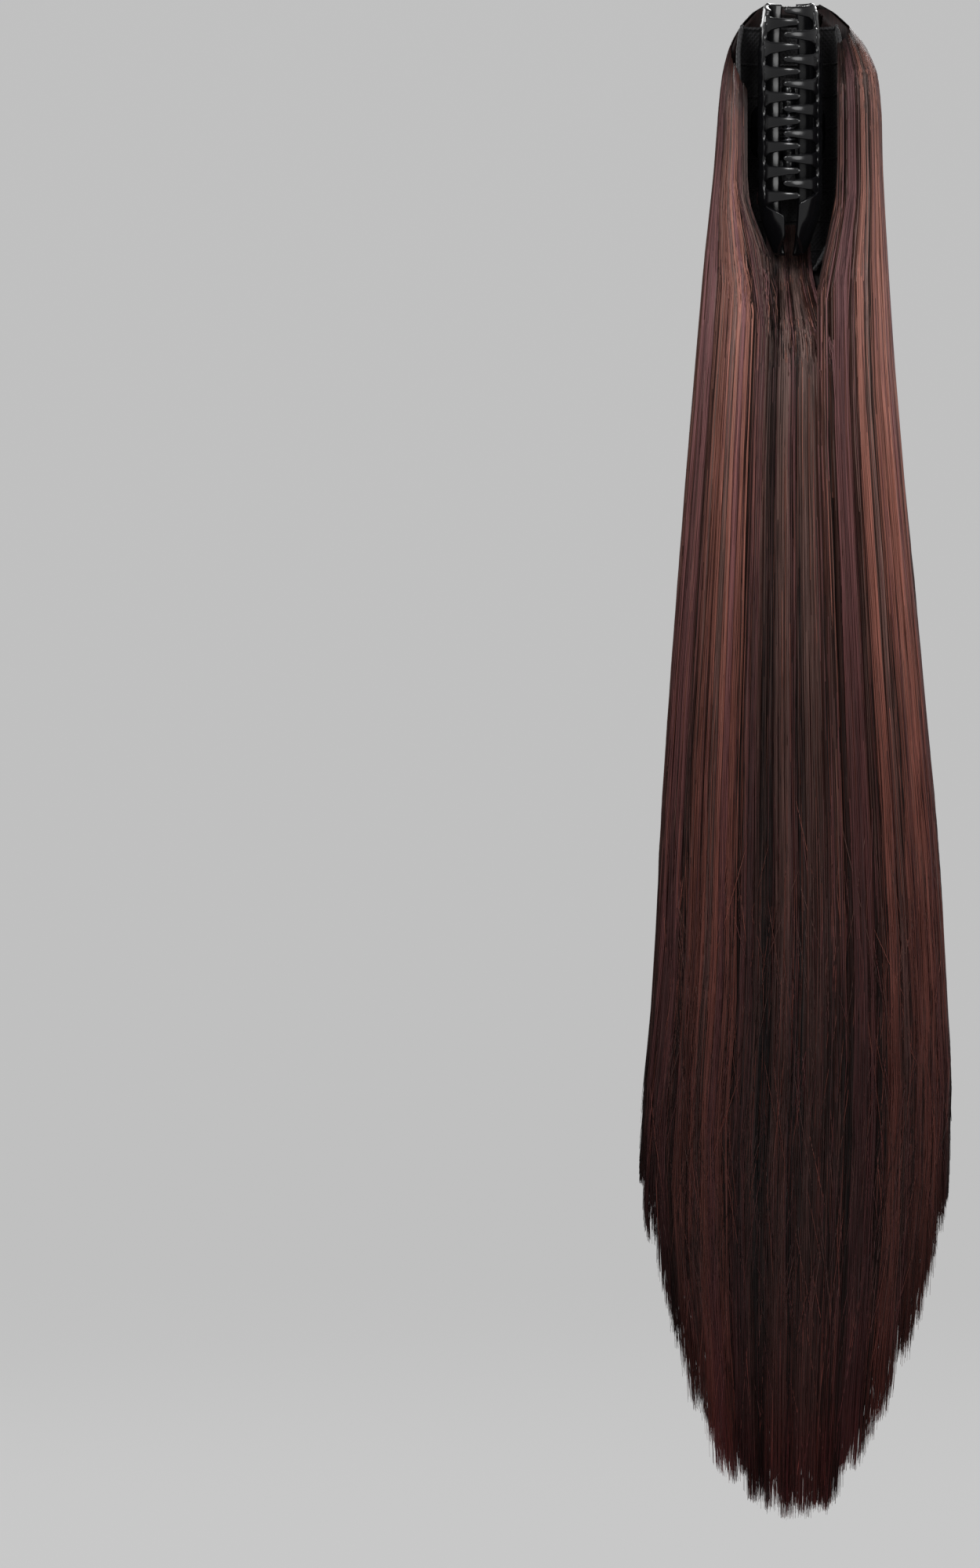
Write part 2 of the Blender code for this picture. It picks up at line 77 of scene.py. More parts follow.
# Reads a column of a table at share: a cubic through its rows whose slopes are the harmonic means of the
# steps on both sides, so that it doesn't overshoot
def readTable(table, column, share):
    places, values = np.array(table)[:, [0, column]].T
    steps = np.diff(values) / np.diff(places)
    product = steps[:-1] * steps[1:]
    total = steps[:-1] + steps[1:]
    inner = np.where(product > 0, 2 * product / np.where(product > 0, total, 1.0), 0.0)
    slopes = np.concatenate([steps[:1], inner, steps[-1:]])
    share = np.clip(share, places[0], places[-1])
    left = np.clip(np.searchsorted(places, share, side="right") - 1, 0, len(places) - 2)
    gap = places[left + 1] - places[left]
    u = (share - places[left]) / gap
    return ((2 * u**3 - 3 * u**2 + 1) * values[left] + (u**3 - 2 * u**2 + u) * gap * slopes[left]
            + (3 * u**2 - 2 * u**3) * values[left + 1] + (u**3 - u**2) * gap * slopes[left + 1])


# Quads of a grid of points, whose rows or columns may close on themselves
def gridQuads(rows, columns, closeRows=False, closeColumns=False):
    index = np.arange(rows * columns).reshape(rows, columns)
    if closeRows:
        index = np.concatenate([index, index[:1]])
    if closeColumns:
        index = np.concatenate([index, index[:, :1]], axis=1)
    return np.stack([index[:-1, :-1], index[:-1, 1:], index[1:, 1:], index[1:, :-1]], -1).reshape(-1, 4)


# A closed solid between two grids of points: both sheets, and a rim round their shared border
def sheetSolid(front, back):
    rows, columns = front.shape[:2]
    index = np.arange(rows * columns).reshape(rows, columns)
    faces = gridQuads(rows, columns)
    border = np.concatenate([index[0, :-1], index[:-1, -1], index[-1, :0:-1], index[:0:-1, 0]])
    after = np.roll(border, -1)
    count = rows * columns
    rim = np.stack([after, border, border + count, after + count], -1)
    points = np.concatenate([front.reshape(-1, 3), back.reshape(-1, 3)])
    return points, [np.concatenate([faces, faces[:, ::-1] + count, rim])]


# Carries a rounded profile along each line: point = line + wide * cos(a) * side + tall * sin(a) * up,
# where side and up are square to the line, and power under 1 makes the round squarer. Ends are capped.
def sweep(lines, wide, tall, across, sides, power=1.0):
    count, rings = lines.shape[:2]
    ahead = np.gradient(lines, axis=1)
    ahead /= np.linalg.norm(ahead, axis=2, keepdims=True)
    side = across - (across * ahead).sum(2, keepdims=True) * ahead
    side /= np.linalg.norm(side, axis=2, keepdims=True)
    up = np.cross(ahead, side)
    angle = np.arange(sides) * 2 * math.pi / sides
    x = signedPower(np.cos(angle), power)
    y = signedPower(np.sin(angle), power)
    points = (lines[:, :, None] + (wide[:, :, None] * x)[..., None] * side[:, :, None]
              + (tall[:, :, None] * y)[..., None] * up[:, :, None])
    index = np.arange(count * rings * sides).reshape(count, rings, sides)
    after = np.roll(index, -1, axis=2)
    quads = np.stack([index[:, :-1], after[:, :-1], after[:, 1:], index[:, 1:]], -1).reshape(-1, 4)
    return points.reshape(-1, 3), [quads, np.concatenate([index[:, 0, ::-1], index[:, -1]])]


# A round tube along one line, with round ends: the radius falls as a circle's does over the last stretch
def tube(line, radius, sides=10, across=(0, 0, 1)):
    line = np.asarray(line, float)[None]
    run = np.concatenate([[0], np.cumsum(np.linalg.norm(np.diff(line[0], axis=0), axis=1))])
    size = (radius * roundEdge(np.minimum(run, run[-1] - run), radius, 0.04))[None]
    return facingOut(sweep(line, size, size, across, sides))


# A closed loop of (radius, height) turned round the hinge pin's axis
def turned(loop, sides=40):
    angle = np.linspace(0, 2 * math.pi, sides, endpoint=False)[None, :]
    radius, height = np.array(loop, float).T[:, :, None]
    points = np.stack([radius * np.cos(angle), pinBack + radius * np.sin(angle), height + 0 * angle], -1)
    return facingOut((points.reshape(-1, 3), [gridQuads(len(loop), sides, True, True)]))


# A ring round the pin: chamfered inside, and outside rounded by one more point at each edge
def ringLoop(inner, outer, bottom, top, chamfer=0.35 * mm):
    close = 0.3 * chamfer
    return [(inner, bottom + chamfer), (inner + chamfer, bottom), (outer - chamfer, bottom),
            (outer - close, bottom + close), (outer, bottom + chamfer), (outer, top - chamfer),
            (outer - close, top - close), (outer - chamfer, top), (inner + chamfer, top),
            (inner, top - chamfer)]


# Joins shapes, each a pair of points and lists of faces, into one
def joined(shapes):
    points, faces, start = [], {}, 0
    for shapePoints, shapeFaces in shapes:
        points.append(shapePoints)
        for group in shapeFaces:
            faces.setdefault(group.shape[1], []).append(group + start)
        start += len(shapePoints)
    return np.concatenate(points), [np.concatenate(groups) for groups in faces.values()]


# Six times the signed volume, positive where faces point outwards
def signedVolume(points, faces):
    total = 0.0
    for group in faces:
        for k in range(1, group.shape[1] - 1):
            a, b, c = points[group[:, 0]], points[group[:, k]], points[group[:, k + 1]]
            total += np.einsum("ij,ij->i", a, np.cross(b, c)).sum()
    return total


def facingOut(shape):
    points, faces = shape
    if signedVolume(points, faces) < 0:
        faces = [group[:, ::-1] for group in faces]
    return points, faces


def addObject(name, data):
    thing = bpy.data.objects.new(name, data)
    bpy.context.scene.collection.objects.link(thing)
    return thing


# Puts points and faces into a mesh piece that rides on a body
def addPiece(name, shape, material, body, replaced=(), uv=None):
    points, faces = shape
    mesh = bpy.data.meshes.new(name)
    corners = np.concatenate([group.ravel() for group in faces])
    sizes = np.concatenate([np.full(len(group), group.shape[1]) for group in faces])
    mesh.vertices.add(len(points))
    mesh.vertices.foreach_set("co", points.astype(np.float32).ravel())
    mesh.loops.add(len(corners))
    mesh.loops.foreach_set("vertex_index", corners.astype(np.int32))
    mesh.polygons.add(len(sizes))
    mesh.polygons.foreach_set("loop_start", (np.cumsum(sizes) - sizes).astype(np.int32))
    if uv is not None:
        layer = mesh.uv_layers.new(name="OFBake")
        layer.data.foreach_set("uv", uv.astype(np.float32).ravel())
    mesh.update(calc_edges=True)
    mesh.shade_smooth()
    mesh.materials.append(material)
    piece = addObject(name, mesh)
    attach(piece, body)
    if replaced:
        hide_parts(*replaced)
    print(f"{name}: {int((sizes - 2).sum())} triangles")


# Adds a node with its settings; an input takes a value, or a socket to link
def addNode(tree, kind, inputs=None, **settings):
    node = tree.nodes.new(kind)
    for name, value in settings.items():
        setattr(node, name, value)
    for name, value in (inputs or {}).items():
        if isinstance(value, bpy.types.NodeSocket):
            tree.links.new(value, node.inputs[name])
        else:
            node.inputs[name].default_value = value
    return node


# Adds a ramp with its stops, each a place and a colour
def addRamp(tree, value, stops):
    node = addNode(tree, "ShaderNodeValToRGB", {"Fac": value})
    elements = node.color_ramp.elements
    while len(elements) < len(stops):
        elements.new(0.5)
    for element, (place, colour) in zip(elements, sorted(stops)):
        element.position = place
        element.color = colour
    return node.outputs["Color"]


# The piece's own coordinates
def ownPlace(tree):
    return addNode(tree, "ShaderNodeTexCoord").outputs["Object"]


def addNoise(tree, vector, scale, detail):
    node = addNode(tree, "ShaderNodeTexNoise", {"Vector": vector, "Scale": scale, "Detail": detail})
    return node.outputs["Fac"]


# Changes a factor to another range
def addRange(tree, value, low, high, fromLow=0.0, fromHigh=1.0):
    node = addNode(tree, "ShaderNodeMapRange", {"Value": value, "From Min": fromLow, "From Max": fromHigh,
                                                "To Min": low, "To Max": high})
    return node.outputs["Result"]


def addBump(tree, shader, height, strength, distance):
    bump = addNode(tree, "ShaderNodeBump", {"Height": height, "Strength": strength, "Distance": distance})
    tree.links.new(bump.outputs["Normal"], shader.inputs["Normal"])


def newMaterial(name, colour, roughness, metallic=0.0, ior=1.5, specular=0.5):
    material = bpy.data.materials.new(name)
    material.use_nodes = True
    shader = material.node_tree.nodes["Principled BSDF"]
    values = {"Base Color": linear(colour), "Roughness": roughness, "Metallic": metallic, "IOR": ior,
              "Specular IOR Level": specular}
    for socket, value in values.items():
        shader.inputs[socket].default_value = value
    return material, material.node_tree, shader


def grey(value):
    return (value, value, value, 1.0)


# Materials

# Heat-resistant modacrylic fibre, drawn fine and smooth: a soft gloss, and each fibre of one shade.
# The map's U picks the shade, four hues side by side and each from dark to light; V runs from root to tip.
fibreLook = {
    "espresso": ("#0c0606", "#54342c"),
    "plum": ("#12090b", "#96696a"),
    "auburn": ("#1c0c09", "#b67e70"),
    "taupe": ("#120b0a", "#90746d"),
    "roughness": 0.42,
    "gloss": 0.20,
}
# Strength by V, painted light and shade down the fall: painted shade makes the roots dark where they leave
# the base, a painted sheen makes the upper third the lightest, painted shade makes the fibres below it
# darker and redder, and painted light shining through reddens the tips
paintedFallLight = (
    (0.0, grey(0.12)), (0.012, grey(0.26)), (0.03, grey(0.56)), (0.086, grey(0.60)), (0.145, grey(0.90)),
    (0.20, grey(1.0)), (0.315, (0.76, 0.66, 0.63, 1)), (0.48, (0.44, 0.33, 0.31, 1)),
    (0.60, (0.29, 0.20, 0.19, 1)), (0.71, (0.18, 0.115, 0.112, 1)), (0.83, (0.17, 0.115, 0.115, 1)),
    (0.92, (0.28, 0.16, 0.16, 1)), (1.0, (0.72, 0.32, 0.34, 1)),
)


def hairFibre():
    material, tree, shader = newMaterial("modacrylicFibreBrown", "#3a211c", fibreLook["roughness"],
                                         specular=fibreLook["gloss"])
    uv = addNode(tree, "ShaderNodeUVMap", uv_map="OFBake").outputs["UV"]
    split = addNode(tree, "ShaderNodeSeparateXYZ", {"Vector": uv})
    stops = []
    for k, name in enumerate(("espresso", "plum", "auburn", "taupe")):
        dark, light = fibreLook[name]
        stops += [(k / 4 + 0.001, linear(dark)), (k / 4 + 0.249, linear(light))]
    shade = addRamp(tree, split.outputs["X"], stops)
    # The fall's strength: painted shade at the roots and lower down, a painted sheen above, painted light
    # at the tips
    strength = addRamp(tree, split.outputs["Y"], paintedFallLight)
    deep = addNode(tree, "ShaderNodeMix", {"Factor": 1.0, 6: shade, 7: strength}, data_type="RGBA",
                   blend_type="MULTIPLY")
    # Slow changes of strength along each shade's own fibres
    longer = addNode(tree, "ShaderNodeMapping", {"Vector": uv, "Scale": (300, 16, 1)})
    cloud = addNoise(tree, longer.outputs["Vector"], scale=1.0, detail=3.0)
    vary = addRange(tree, cloud, low=0.68, high=1.28, fromLow=0.3, fromHigh=0.7)
    varied = addNode(tree, "ShaderNodeVectorMath", {0: deep.outputs[2], "Scale": vary}, operation="SCALE")
    tree.links.new(varied.outputs["Vector"], shader.inputs["Base Color"])
    return material


# The same fibre, packed: painted dark for the shade deep among the fibres, with fine upright ridges 0.8 mm
# apart between the strands that show
def packedFibreShade():
    material, tree, shader = newMaterial("modacrylicFibrePackedShade", "#1a0f0d", 0.6, specular=0.2)
    stretch = addNode(tree, "ShaderNodeMapping", {"Vector": ownPlace(tree), "Scale": (1250, 1250, 12)})
    noise = addNoise(tree, stretch.outputs["Vector"], scale=1.0, detail=3.0)
    tone = addRamp(tree, noise, [(0.3, linear("#0b0505")), (0.7, linear("#1e1110"))])
    tree.links.new(tone, shader.inputs["Base Color"])
    addBump(tree, shader, noise, strength=0.6, distance=0.3 * mm)
    return material


# Black ABS, injection moulded in a polished mould: deep gloss with faint flow and handling marks
def mouldedAbs():
    material, tree, shader = newMaterial("mouldedAbsBlack", "#0a0a0c", 0.2, ior=1.54, specular=0.33)
    wear = addNoise(tree, ownPlace(tree), scale=160.0, detail=4.0)
    tree.links.new(addRange(tree, wear, low=0.10, high=0.32), shader.inputs["Roughness"])
    grain = addNoise(tree, ownPlace(tree), scale=900.0, detail=2.0)
    addBump(tree, shader, grain, strength=0.15, distance=0.06 * mm)
    return material


# Black nylon net, warp knitted: matt, with threads crossing 1.3 mm apart
def baseNet():
    material, tree, shader = newMaterial("knittedNylonNetBlack", "#0d0c0e", 0.7, ior=1.53)
    shader.inputs["Sheen Weight"].default_value = 0.08
    threads = {}
    for k, turn in enumerate((0.7, -0.7)):  # radians either way from upright
        tilt = addNode(tree, "ShaderNodeMapping", {"Vector": ownPlace(tree), "Rotation": (0, turn, 0)})
        wave = addNode(tree, "ShaderNodeTexWave", {"Vector": tilt.outputs["Vector"], "Scale": 240.0})
        threads[k] = wave.outputs["Fac"]
    weave = addNode(tree, "ShaderNodeMath", threads, operation="MAXIMUM").outputs["Value"]
    tone = addRamp(tree, weave, [(0.5, linear("#050406")), (0.95, linear("#151317"))])
    tree.links.new(tone, shader.inputs["Base Color"])
    addBump(tree, shader, weave, strength=0.7, distance=0.25 * mm)
    return material


# Drawn spring steel, lightly oiled: bright, with fine lines round the wire
def drawnSteel():
    material, tree, shader = newMaterial("drawnSpringSteel", "#9a9a9e", 0.3, metallic=1.0)
    lines = addNoise(tree, ownPlace(tree), scale=900.0, detail=3.0)
    tree.links.new(addRange(tree, lines, low=0.22, high=0.45), shader.inputs["Roughness"])
    return material


fibre = hairFibre()
packed = packedFibreShade()
glossAbs = mouldedAbs()
net = baseNet()
steel = drawnSteel()
print("materials made")


# Claw: two halves that turn on a steel pin

claw = {
    "top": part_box("jaw_right")[1].z,
    "bottom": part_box("jaw_right")[0].z,
    "halfWidth": 11.55 * mm,  # to the middle of the wall
    "reach": 25 * mm,
    "wall": 1.9 * mm,
    "toothEnd": 1.2 * mm,
    "teeth": 8,
    "pitch": 9.6 * mm,
    "firstDrop": 5 * mm,
    "rootHeight": 5.8 * mm,
    "tipHeight": 2.2 * mm,
    "flare": 0.7 * mm,  # how much wider a tooth leaves the wall, either way
    "rib": 0.35 * mm,  # how proud a rib runs from each tooth over the wall
}
# The front edge of a half's wall. scallop, lobe, lobeEnd and topCorner are shares of the mid-line's path:
# either way between the teeth, added in the lobe, lost again at its end, and lost at the top.
edgeLook = {
    "scallop": 0.022,
    "lobe": 0.245,
    "lobeEnd": 0.20,
    "topCorner": 0.30,
    "lobeDrop": 2 * mm,  # from the last tooth's middle
    "lobeRun": 6 * mm,
    "teethStart": (2 * mm, 7 * mm),  # above the first tooth's middle
}
leverLook = {
    "height": 24 * mm,
    "length": 14 * mm,
    "narrowing": 0.2,  # share of the height lost at the end
    "cornerFrom": 0.72,
    "cornerRun": 0.28,
    "ridge": 0.22 * mm,
    "ridgeStep": 0.11,  # share of the length
}
hinge = {
    "pin": 1.0 * mm,
    "knuckle": 2.9 * mm,
    "web": (2.2, 4.6),  # from and to, in millimetres out from the middle
    "webThick": 1.2 * mm,
    "knuckleHeight": 5 * mm,
    "springHeight": 12 * mm,
    "springWire": 0.9 * mm,
    "springTurns": 7,
    "loopHeight": 3 * mm,
    "loopWall": 1.3 * mm,
    "clearance": 0.3 * mm,
}
clawMiddle = (claw["top"] + claw["bottom"]) / 2
# The claw half's mid-line. share: of its path. out: share of the half width. ahead: share of the reach.
jawSection = (
    (0.00, 0.30, 0.055),
    (0.10, 0.60, 0.100),
    (0.22, 0.88, 0.215),
    (0.353, 1.00, 0.400),
    (0.464, 0.97, 0.560),
    (0.577, 0.83, 0.710),
    (0.686, 0.62, 0.835),
    (0.795, 0.34, 0.925),
    (0.903, 0.02, 0.980),
    (1.00, -0.28, 1.000),
)
jawPathLength = 36.2 * mm
toothRoot = 0.577
clawTaper = ((0.0, 0.78), (0.10, 0.91), (0.24, 1.0), (0.76, 1.0), (0.86, 0.88), (0.94, 0.66), (1.0, 0.44))
# The lever's mid-line: share, out and ahead in millimetres
leverPath = ((0.0, 4.4, 1.7), (0.14, 4.8, -0.6), (0.5, 8.6, -3.4), (1.0, 14.39, -7.47))


# Middles of a half's teeth, from its top down; the left ones lie half a pitch lower
def toothMiddles(side):
    drop = claw["firstDrop"] + (0 if side > 0 else claw["pitch"] / 2)
    return claw["top"] - drop - claw["pitch"] * np.arange(claw["teeth"])


# Point on the mid-line: x = side * out, y = pin's axis - ahead, both times the taper at its height
def jawPoint(side, share, z):
    scale = readTable(clawTaper, 1, (claw["top"] - z) / (claw["top"] - claw["bottom"]))
    out = readTable(jawSection, 1, share) * claw["halfWidth"] * scale
    ahead = readTable(jawSection, 2, share) * claw["reach"] * scale
    return np.stack([side * out, pinBack - ahead, z + 0 * share], -1)


# Puts half a wall on both sides of a grid of mid-points: point +- half wall * normal, where the normal is
# square to the rows in the level plane and points outwards, and the outer side gets some more
def thicken(points, halfWall, extraOut):
    along = np.gradient(points, axis=0)
    normal = np.stack([along[..., 1], -along[..., 0], 0 * along[..., 0]], -1)
    normal /= np.linalg.norm(normal, axis=2, keepdims=True)
    normal = normal * np.sign(normal[..., :1] * np.sign(points[..., :1]) + 1e-9)
    return facingOut(sheetSolid(points + normal * (halfWall + extraOut)[..., None],
                                points - normal * halfWall[..., None]))


# The wall of a half. Its front edge runs scalloped between the teeth and comes forward in the lobe below
# the last tooth. Heights and rows crowd towards the edges.
def jawWall(side):
    t = np.linspace(0, 1, 150)[None, :]
    t = t - 0.8 * np.sin(2 * math.pi * t) / (2 * math.pi)
    q = crowded(30)[:, None]
    z = claw["top"] + (claw["bottom"] - claw["top"]) * t + 0 * q
    teeth = toothMiddles(side)
    wave = np.cos(2 * math.pi * (z - teeth[0]) / claw["pitch"])
    lobeStart = teeth[-1] - edgeLook["lobeDrop"]
    inLobe = 1 - ease(lobeStart - edgeLook["lobeRun"], lobeStart, z)
    near, far = edgeLook["teethStart"]
    inTeeth = (1 - inLobe) * (1 - ease(teeth[0] + near, teeth[0] + far, z))
    edge = (toothRoot + edgeLook["scallop"] * wave * inTeeth
            + (edgeLook["lobe"] - edgeLook["lobeEnd"] * ease(0.93, 1.0, t)) * inLobe)
    edge = edge - edgeLook["topCorner"] * (1 - ease(0.0, 0.045, t))
    fromEnds = np.minimum(claw["top"] - z, z - claw["bottom"])
    fromSides = np.minimum(q, 1 - q) * edge * jawPathLength
    half = claw["wall"] / 2
    rounding = roundEdge(fromEnds, half) * roundEdge(fromSides, half)
    rib = np.maximum(wave, 0) ** 3 * inTeeth * ease(0.12, 0.35, q) * claw["rib"]
    return thicken(jawPoint(side, q * edge, z), half * rounding, rib * rounding)


# The teeth of a half: a squarish profile carried along the mid-line, smaller towards a round tip and
# flared where it leaves the wall
def jawTeeth(side):
    tipFrom, tipRun = 0.95, 0.05
    share = np.concatenate([np.linspace(0.535, tipFrom, 15), [0.966, 0.980, 0.990, 0.997, 1.0]])
    z = toothMiddles(side)[:, None]
    lines = jawPoint(side, share[None, :], z)
    run = np.clip((share - toothRoot) / (1 - toothRoot), 0, 1)
    tip = np.sqrt(np.maximum(1 - (np.clip(share - tipFrom, 0, 1) / tipRun) ** 2, 0.06))
    root, end = claw["rootHeight"] / 2, claw["tipHeight"] / 2
    wide = (root + (end - root) * run ** 0.8 + claw["flare"] * (1 - ease(0.56, 0.66, share))) * tip
    tall = (claw["wall"] + (claw["toothEnd"] - claw["wall"]) * run) / 2 * tip
    wide, tall = (np.tile(size, (len(z), 1)) for size in (wide, tall))
    return facingOut(sweep(lines, wide, tall, (0, 0, 1), sides=14, power=0.7))


# The finger lever: a plate that curves back from the wall, with rounded corners and grip ridges
def jawLever(side):
    q = crowded(34)[:, None]
    t = np.sin(np.linspace(-math.pi / 2, math.pi / 2, 26))[None, :]
    nearEnd = np.clip(q - leverLook["cornerFrom"], 0, 1) / leverLook["cornerRun"]
    corner = np.sqrt(np.maximum(1 - nearEnd ** 2.6 * 0.62, 0.1))
    height = leverLook["height"] / 2 * (1 - leverLook["narrowing"] * q) * corner
    out = readTable(leverPath, 1, q) * mm
    ahead = readTable(leverPath, 2, q) * mm
    points = np.stack([side * out + 0 * t, pinBack - ahead + 0 * t, clawMiddle + t * height], -1)
    half = claw["wall"] / 2
    rounding = roundEdge((1 - np.abs(t)) * height, half) * roundEdge((1 - q) * leverLook["length"], half)
    wave = np.maximum(np.cos((q - 0.9) * 2 * math.pi / leverLook["ridgeStep"]), 0)
    ridges = leverLook["ridge"] * wave * ease(0.45, 0.52, q)
    return thicken(points, half * rounding, ridges * rounding * (1 - ease(0.6, 0.9, np.abs(t))))


# Bottom and top of the two knuckles of a half
def knuckleSpans(side):
    inner = hinge["springHeight"] / 2 + hinge["clearance"]
    outer = inner + hinge["knuckleHeight"] + hinge["clearance"]
    upper, lower = (outer, inner) if side > 0 else (inner, outer)
    high = hinge["knuckleHeight"]
    return (clawMiddle + upper, clawMiddle + upper + high), (clawMiddle - lower - high, clawMiddle - lower)


# A half's knuckles: rings round the pin, each with a web to the wall
def jawKnuckles(side):
    shapes = []
    for bottom, top in knuckleSpans(side):
        inner = hinge["pin"] + hinge["clearance"]
        shapes.append(turned(ringLoop(inner, hinge["knuckle"], bottom, top)))
        x = side * np.linspace(*hinge["web"], 6) * mm
        line = np.stack([x, 0 * x + (pinBack - 0.5 * mm), 0 * x + (bottom + top) / 2], -1)[None]
        high, thick = np.full((1, 6), (top - bottom) / 2), np.full((1, 6), hinge["webThick"])
        shapes.append(facingOut(sweep(line, high, thick, (0, 0, 1), sides=16, power=0.45)))
    return shapes


for name, side in (("right", 1), ("left", -1)):
    shape = joined([jawWall(side), jawTeeth(side), jawLever(side), *jawKnuckles(side)])
    addPiece(f"clawHalf{name.title()}", shape, glossAbs, f"claw_{name}", [f"jaw_{name}"])


# Bottom and top of the base's two loops, which hold the ends of the pin
def loopSpans():
    start = hinge["springHeight"] / 2 + 2 * hinge["knuckleHeight"] + 3 * hinge["clearance"]
    high = hinge["loopHeight"]
    return (clawMiddle + start, clawMiddle + start + high), (clawMiddle - start - high, clawMiddle - start)


# The pin, with domed ends, and the coil: centre = (r cos a, pin's axis + r sin a, climb * a)
def makeHinge():
    (_, top), (bottom, _) = loopSpans()
    ends = np.array([0, 0.15, 0.4, 0.8]) * mm
    z = np.concatenate([bottom + ends, top - ends[::-1]])
    line = np.stack([0 * z, 0 * z + pinBack, z], -1)
    addPiece("hingePin", tube(line, hinge["pin"], 24, (1, 0, 0)), steel, "hairpiece",
             ["hinge_pin"])
    wire = hinge["springWire"]
    radius = hinge["knuckle"] - wire / 2
    climb = (hinge["springHeight"] - 2 * wire) / (hinge["springTurns"] * 2 * math.pi)
    turn = np.linspace(0, hinge["springTurns"] * 2 * math.pi, hinge["springTurns"] * 32)
    coil = np.stack([radius * np.cos(turn), pinBack + radius * np.sin(turn),
                     clawMiddle - climb * turn[-1] / 2 + climb * turn], -1)
    addPiece("returnSpring", tube(coil, wire / 2, 10), steel, "hairpiece", ["return_spring"])


makeHinge()
print("claw made")


# Base: a net trough that the hair is sewn to

# share: of the cup's height, from the top. half, back, front: shares of half the width, of the depth behind
# the pin and of how far the edges come ahead of it.
cupForm = (
    (0.00, 0.91, 0.28, 0.30),
    (0.05, 0.96, 0.40, 0.50),
    (0.12, 1.00, 0.64, 0.70),
    (0.21, 1.00, 0.92, 0.86),
    (0.30, 1.00, 1.00, 0.96),
    (0.60, 1.00, 1.00, 1.00),
    (0.74, 0.98, 0.90, 1.00),
    (0.86, 0.84, 0.64, 0.92),
    (0.94, 0.66, 0.42, 0.80),
    (1.00, 0.50, 0.28, 0.66),
)
cup = {
    "top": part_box("weft_cup")[1].z,
    "bottom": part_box("weft_cup")[0].z,
    "halfWidth": 19.5 * mm,
    "depth": 17 * mm,
    "front": 14.5 * mm,
    "wall": 1.2 * mm,
    "squareness": 3.2,
    "binding": 0.85 * mm,
    "wefts": 7,  # sewn rows that show inside
    "weftSpan": (0.14, 0.78),  # the first one's share of the height, and how far on the last one is
    "weftThread": 0.45 * mm,
    "sides": 0.18,  # share of the way round that each straight side takes
}


# Outer half width, back and front edge of the cup at a height
def cupAt(z):
    share = (cup["top"] - z) / (cup["top"] - cup["bottom"])
    half = readTable(cupForm, 1, share) * cup["halfWidth"] + cup["wall"]
    back = readTable(cupForm, 2, share) * cup["depth"] + cup["wall"]
    front = pinBack - readTable(cupForm, 3, share) * cup["front"]
    within = ease(-0.02, 0.0, share) * (1 - ease(1.0, 1.02, share))
    return half, back, front, within


# Point of the cup's face moved outward by extra: straight sides, then x = -half * cos(a)^p and
# y = pin's axis + depth * sin(a)^p round the back, with p = 2 / squareness
def cupPoint(share, around, extra):
    half = readTable(cupForm, 1, share) * cup["halfWidth"] + extra
    depth = readTable(cupForm, 2, share) * cup["depth"] + extra
    front = readTable(cupForm, 3, share) * cup["front"]
    straight = cup["sides"]
    angle = np.clip((around - straight) / (1 - 2 * straight), 0, 1) * math.pi
    power = 2 / cup["squareness"]
    lead = np.clip(1 - np.minimum(around, 1 - around) / straight, 0, 1)
    x = -signedPower(np.cos(angle), power)
    y = pinBack + depth * np.abs(np.sin(angle)) ** power - front * lead
    z = cup["top"] + (cup["bottom"] - cup["top"]) * share + 0 * x
    return np.stack([half * x, y, z], -1)


# The net as a thin solid, a binding round its border, the sewn rows inside, and the two loops that hold the
# pin, each with a web to the net's back
def makeBase():
    inset = 0.1 * mm  # of the net from the solid's faces
    share, around = crowded(46)[:, None], np.linspace(0, 1, 60)[None, :]
    shapes = [facingOut(sheetSolid(cupPoint(share, around, cup["wall"] - inset),
                                   cupPoint(share, around, inset)))]
    middle = cup["wall"] / 2
    up, over = np.linspace(0, 1, 60), np.linspace(0, 1, 70)
    rims = [cupPoint(up, 0 * up + end, middle) for end in (0, 1)]
    rims += [cupPoint(0 * over + end, over, middle) for end in (0, 1)]
    shapes += [tube(rim, cup["binding"], across=(0.3, 0.2, 1)) for rim in rims]
    first, span = cup["weftSpan"]
    for k in range(cup["wefts"]):
        level = first + span * k / (cup["wefts"] - 1) + 0 * over
        shapes.append(tube(cupPoint(level, 0.04 + 0.92 * over, -0.05 * mm), cup["weftThread"], 6))
    for bottom, top in loopSpans():
        inner = hinge["pin"] + hinge["clearance"]
        shapes.append(turned(ringLoop(inner, inner + hinge["loopWall"], bottom, top, 0.25 * mm)))
        reach = pinBack + cupAt(np.array([bottom, top]))[1].min() - 0.6 * mm
        y = np.linspace(pinBack + inner + 0.5 * mm, reach, 8)
        line = np.stack([0 * y, y, 0 * y + (bottom + top) / 2], -1)[None]
        wide, high = np.full((1, 8), hinge["loopWall"]), np.full((1, 8), (top - bottom) / 2)
        shapes.append(facingOut(sweep(line, wide, high, (1, 0, 0), sides=12, power=0.5)))
    addPiece("netBase", joined(shapes), net, "hairpiece", ["weft_cup"])


makeBase()
print("base made")


# Hair

hair = {
    "top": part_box("crown_hair")[1].z,
    "tip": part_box("inner_hair")[0].z,
    "plane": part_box("crown_hair")[0].y - 0.2 * mm,  # where the outer layer meets the front one
    "sideways": 3 * mm,
    "widest": 121 * mm,
    "crownWidth": 64 * mm,
    "outerDepth": 21.5 * mm,
    "frontDepth": 24 * mm,
    "fullness": 2.6,  # power of the oval section
    "lockRelief": 1.7 * mm,
    "clumpWidth": 2.9 * mm,
    "clumpRelief": 0.55 * mm,
    "strandWidth": 0.33 * mm,
    "seed": 4127,
}
hairLength = hair["top"] - hair["tip"]
draw = np.random.default_rng(hair["seed"])

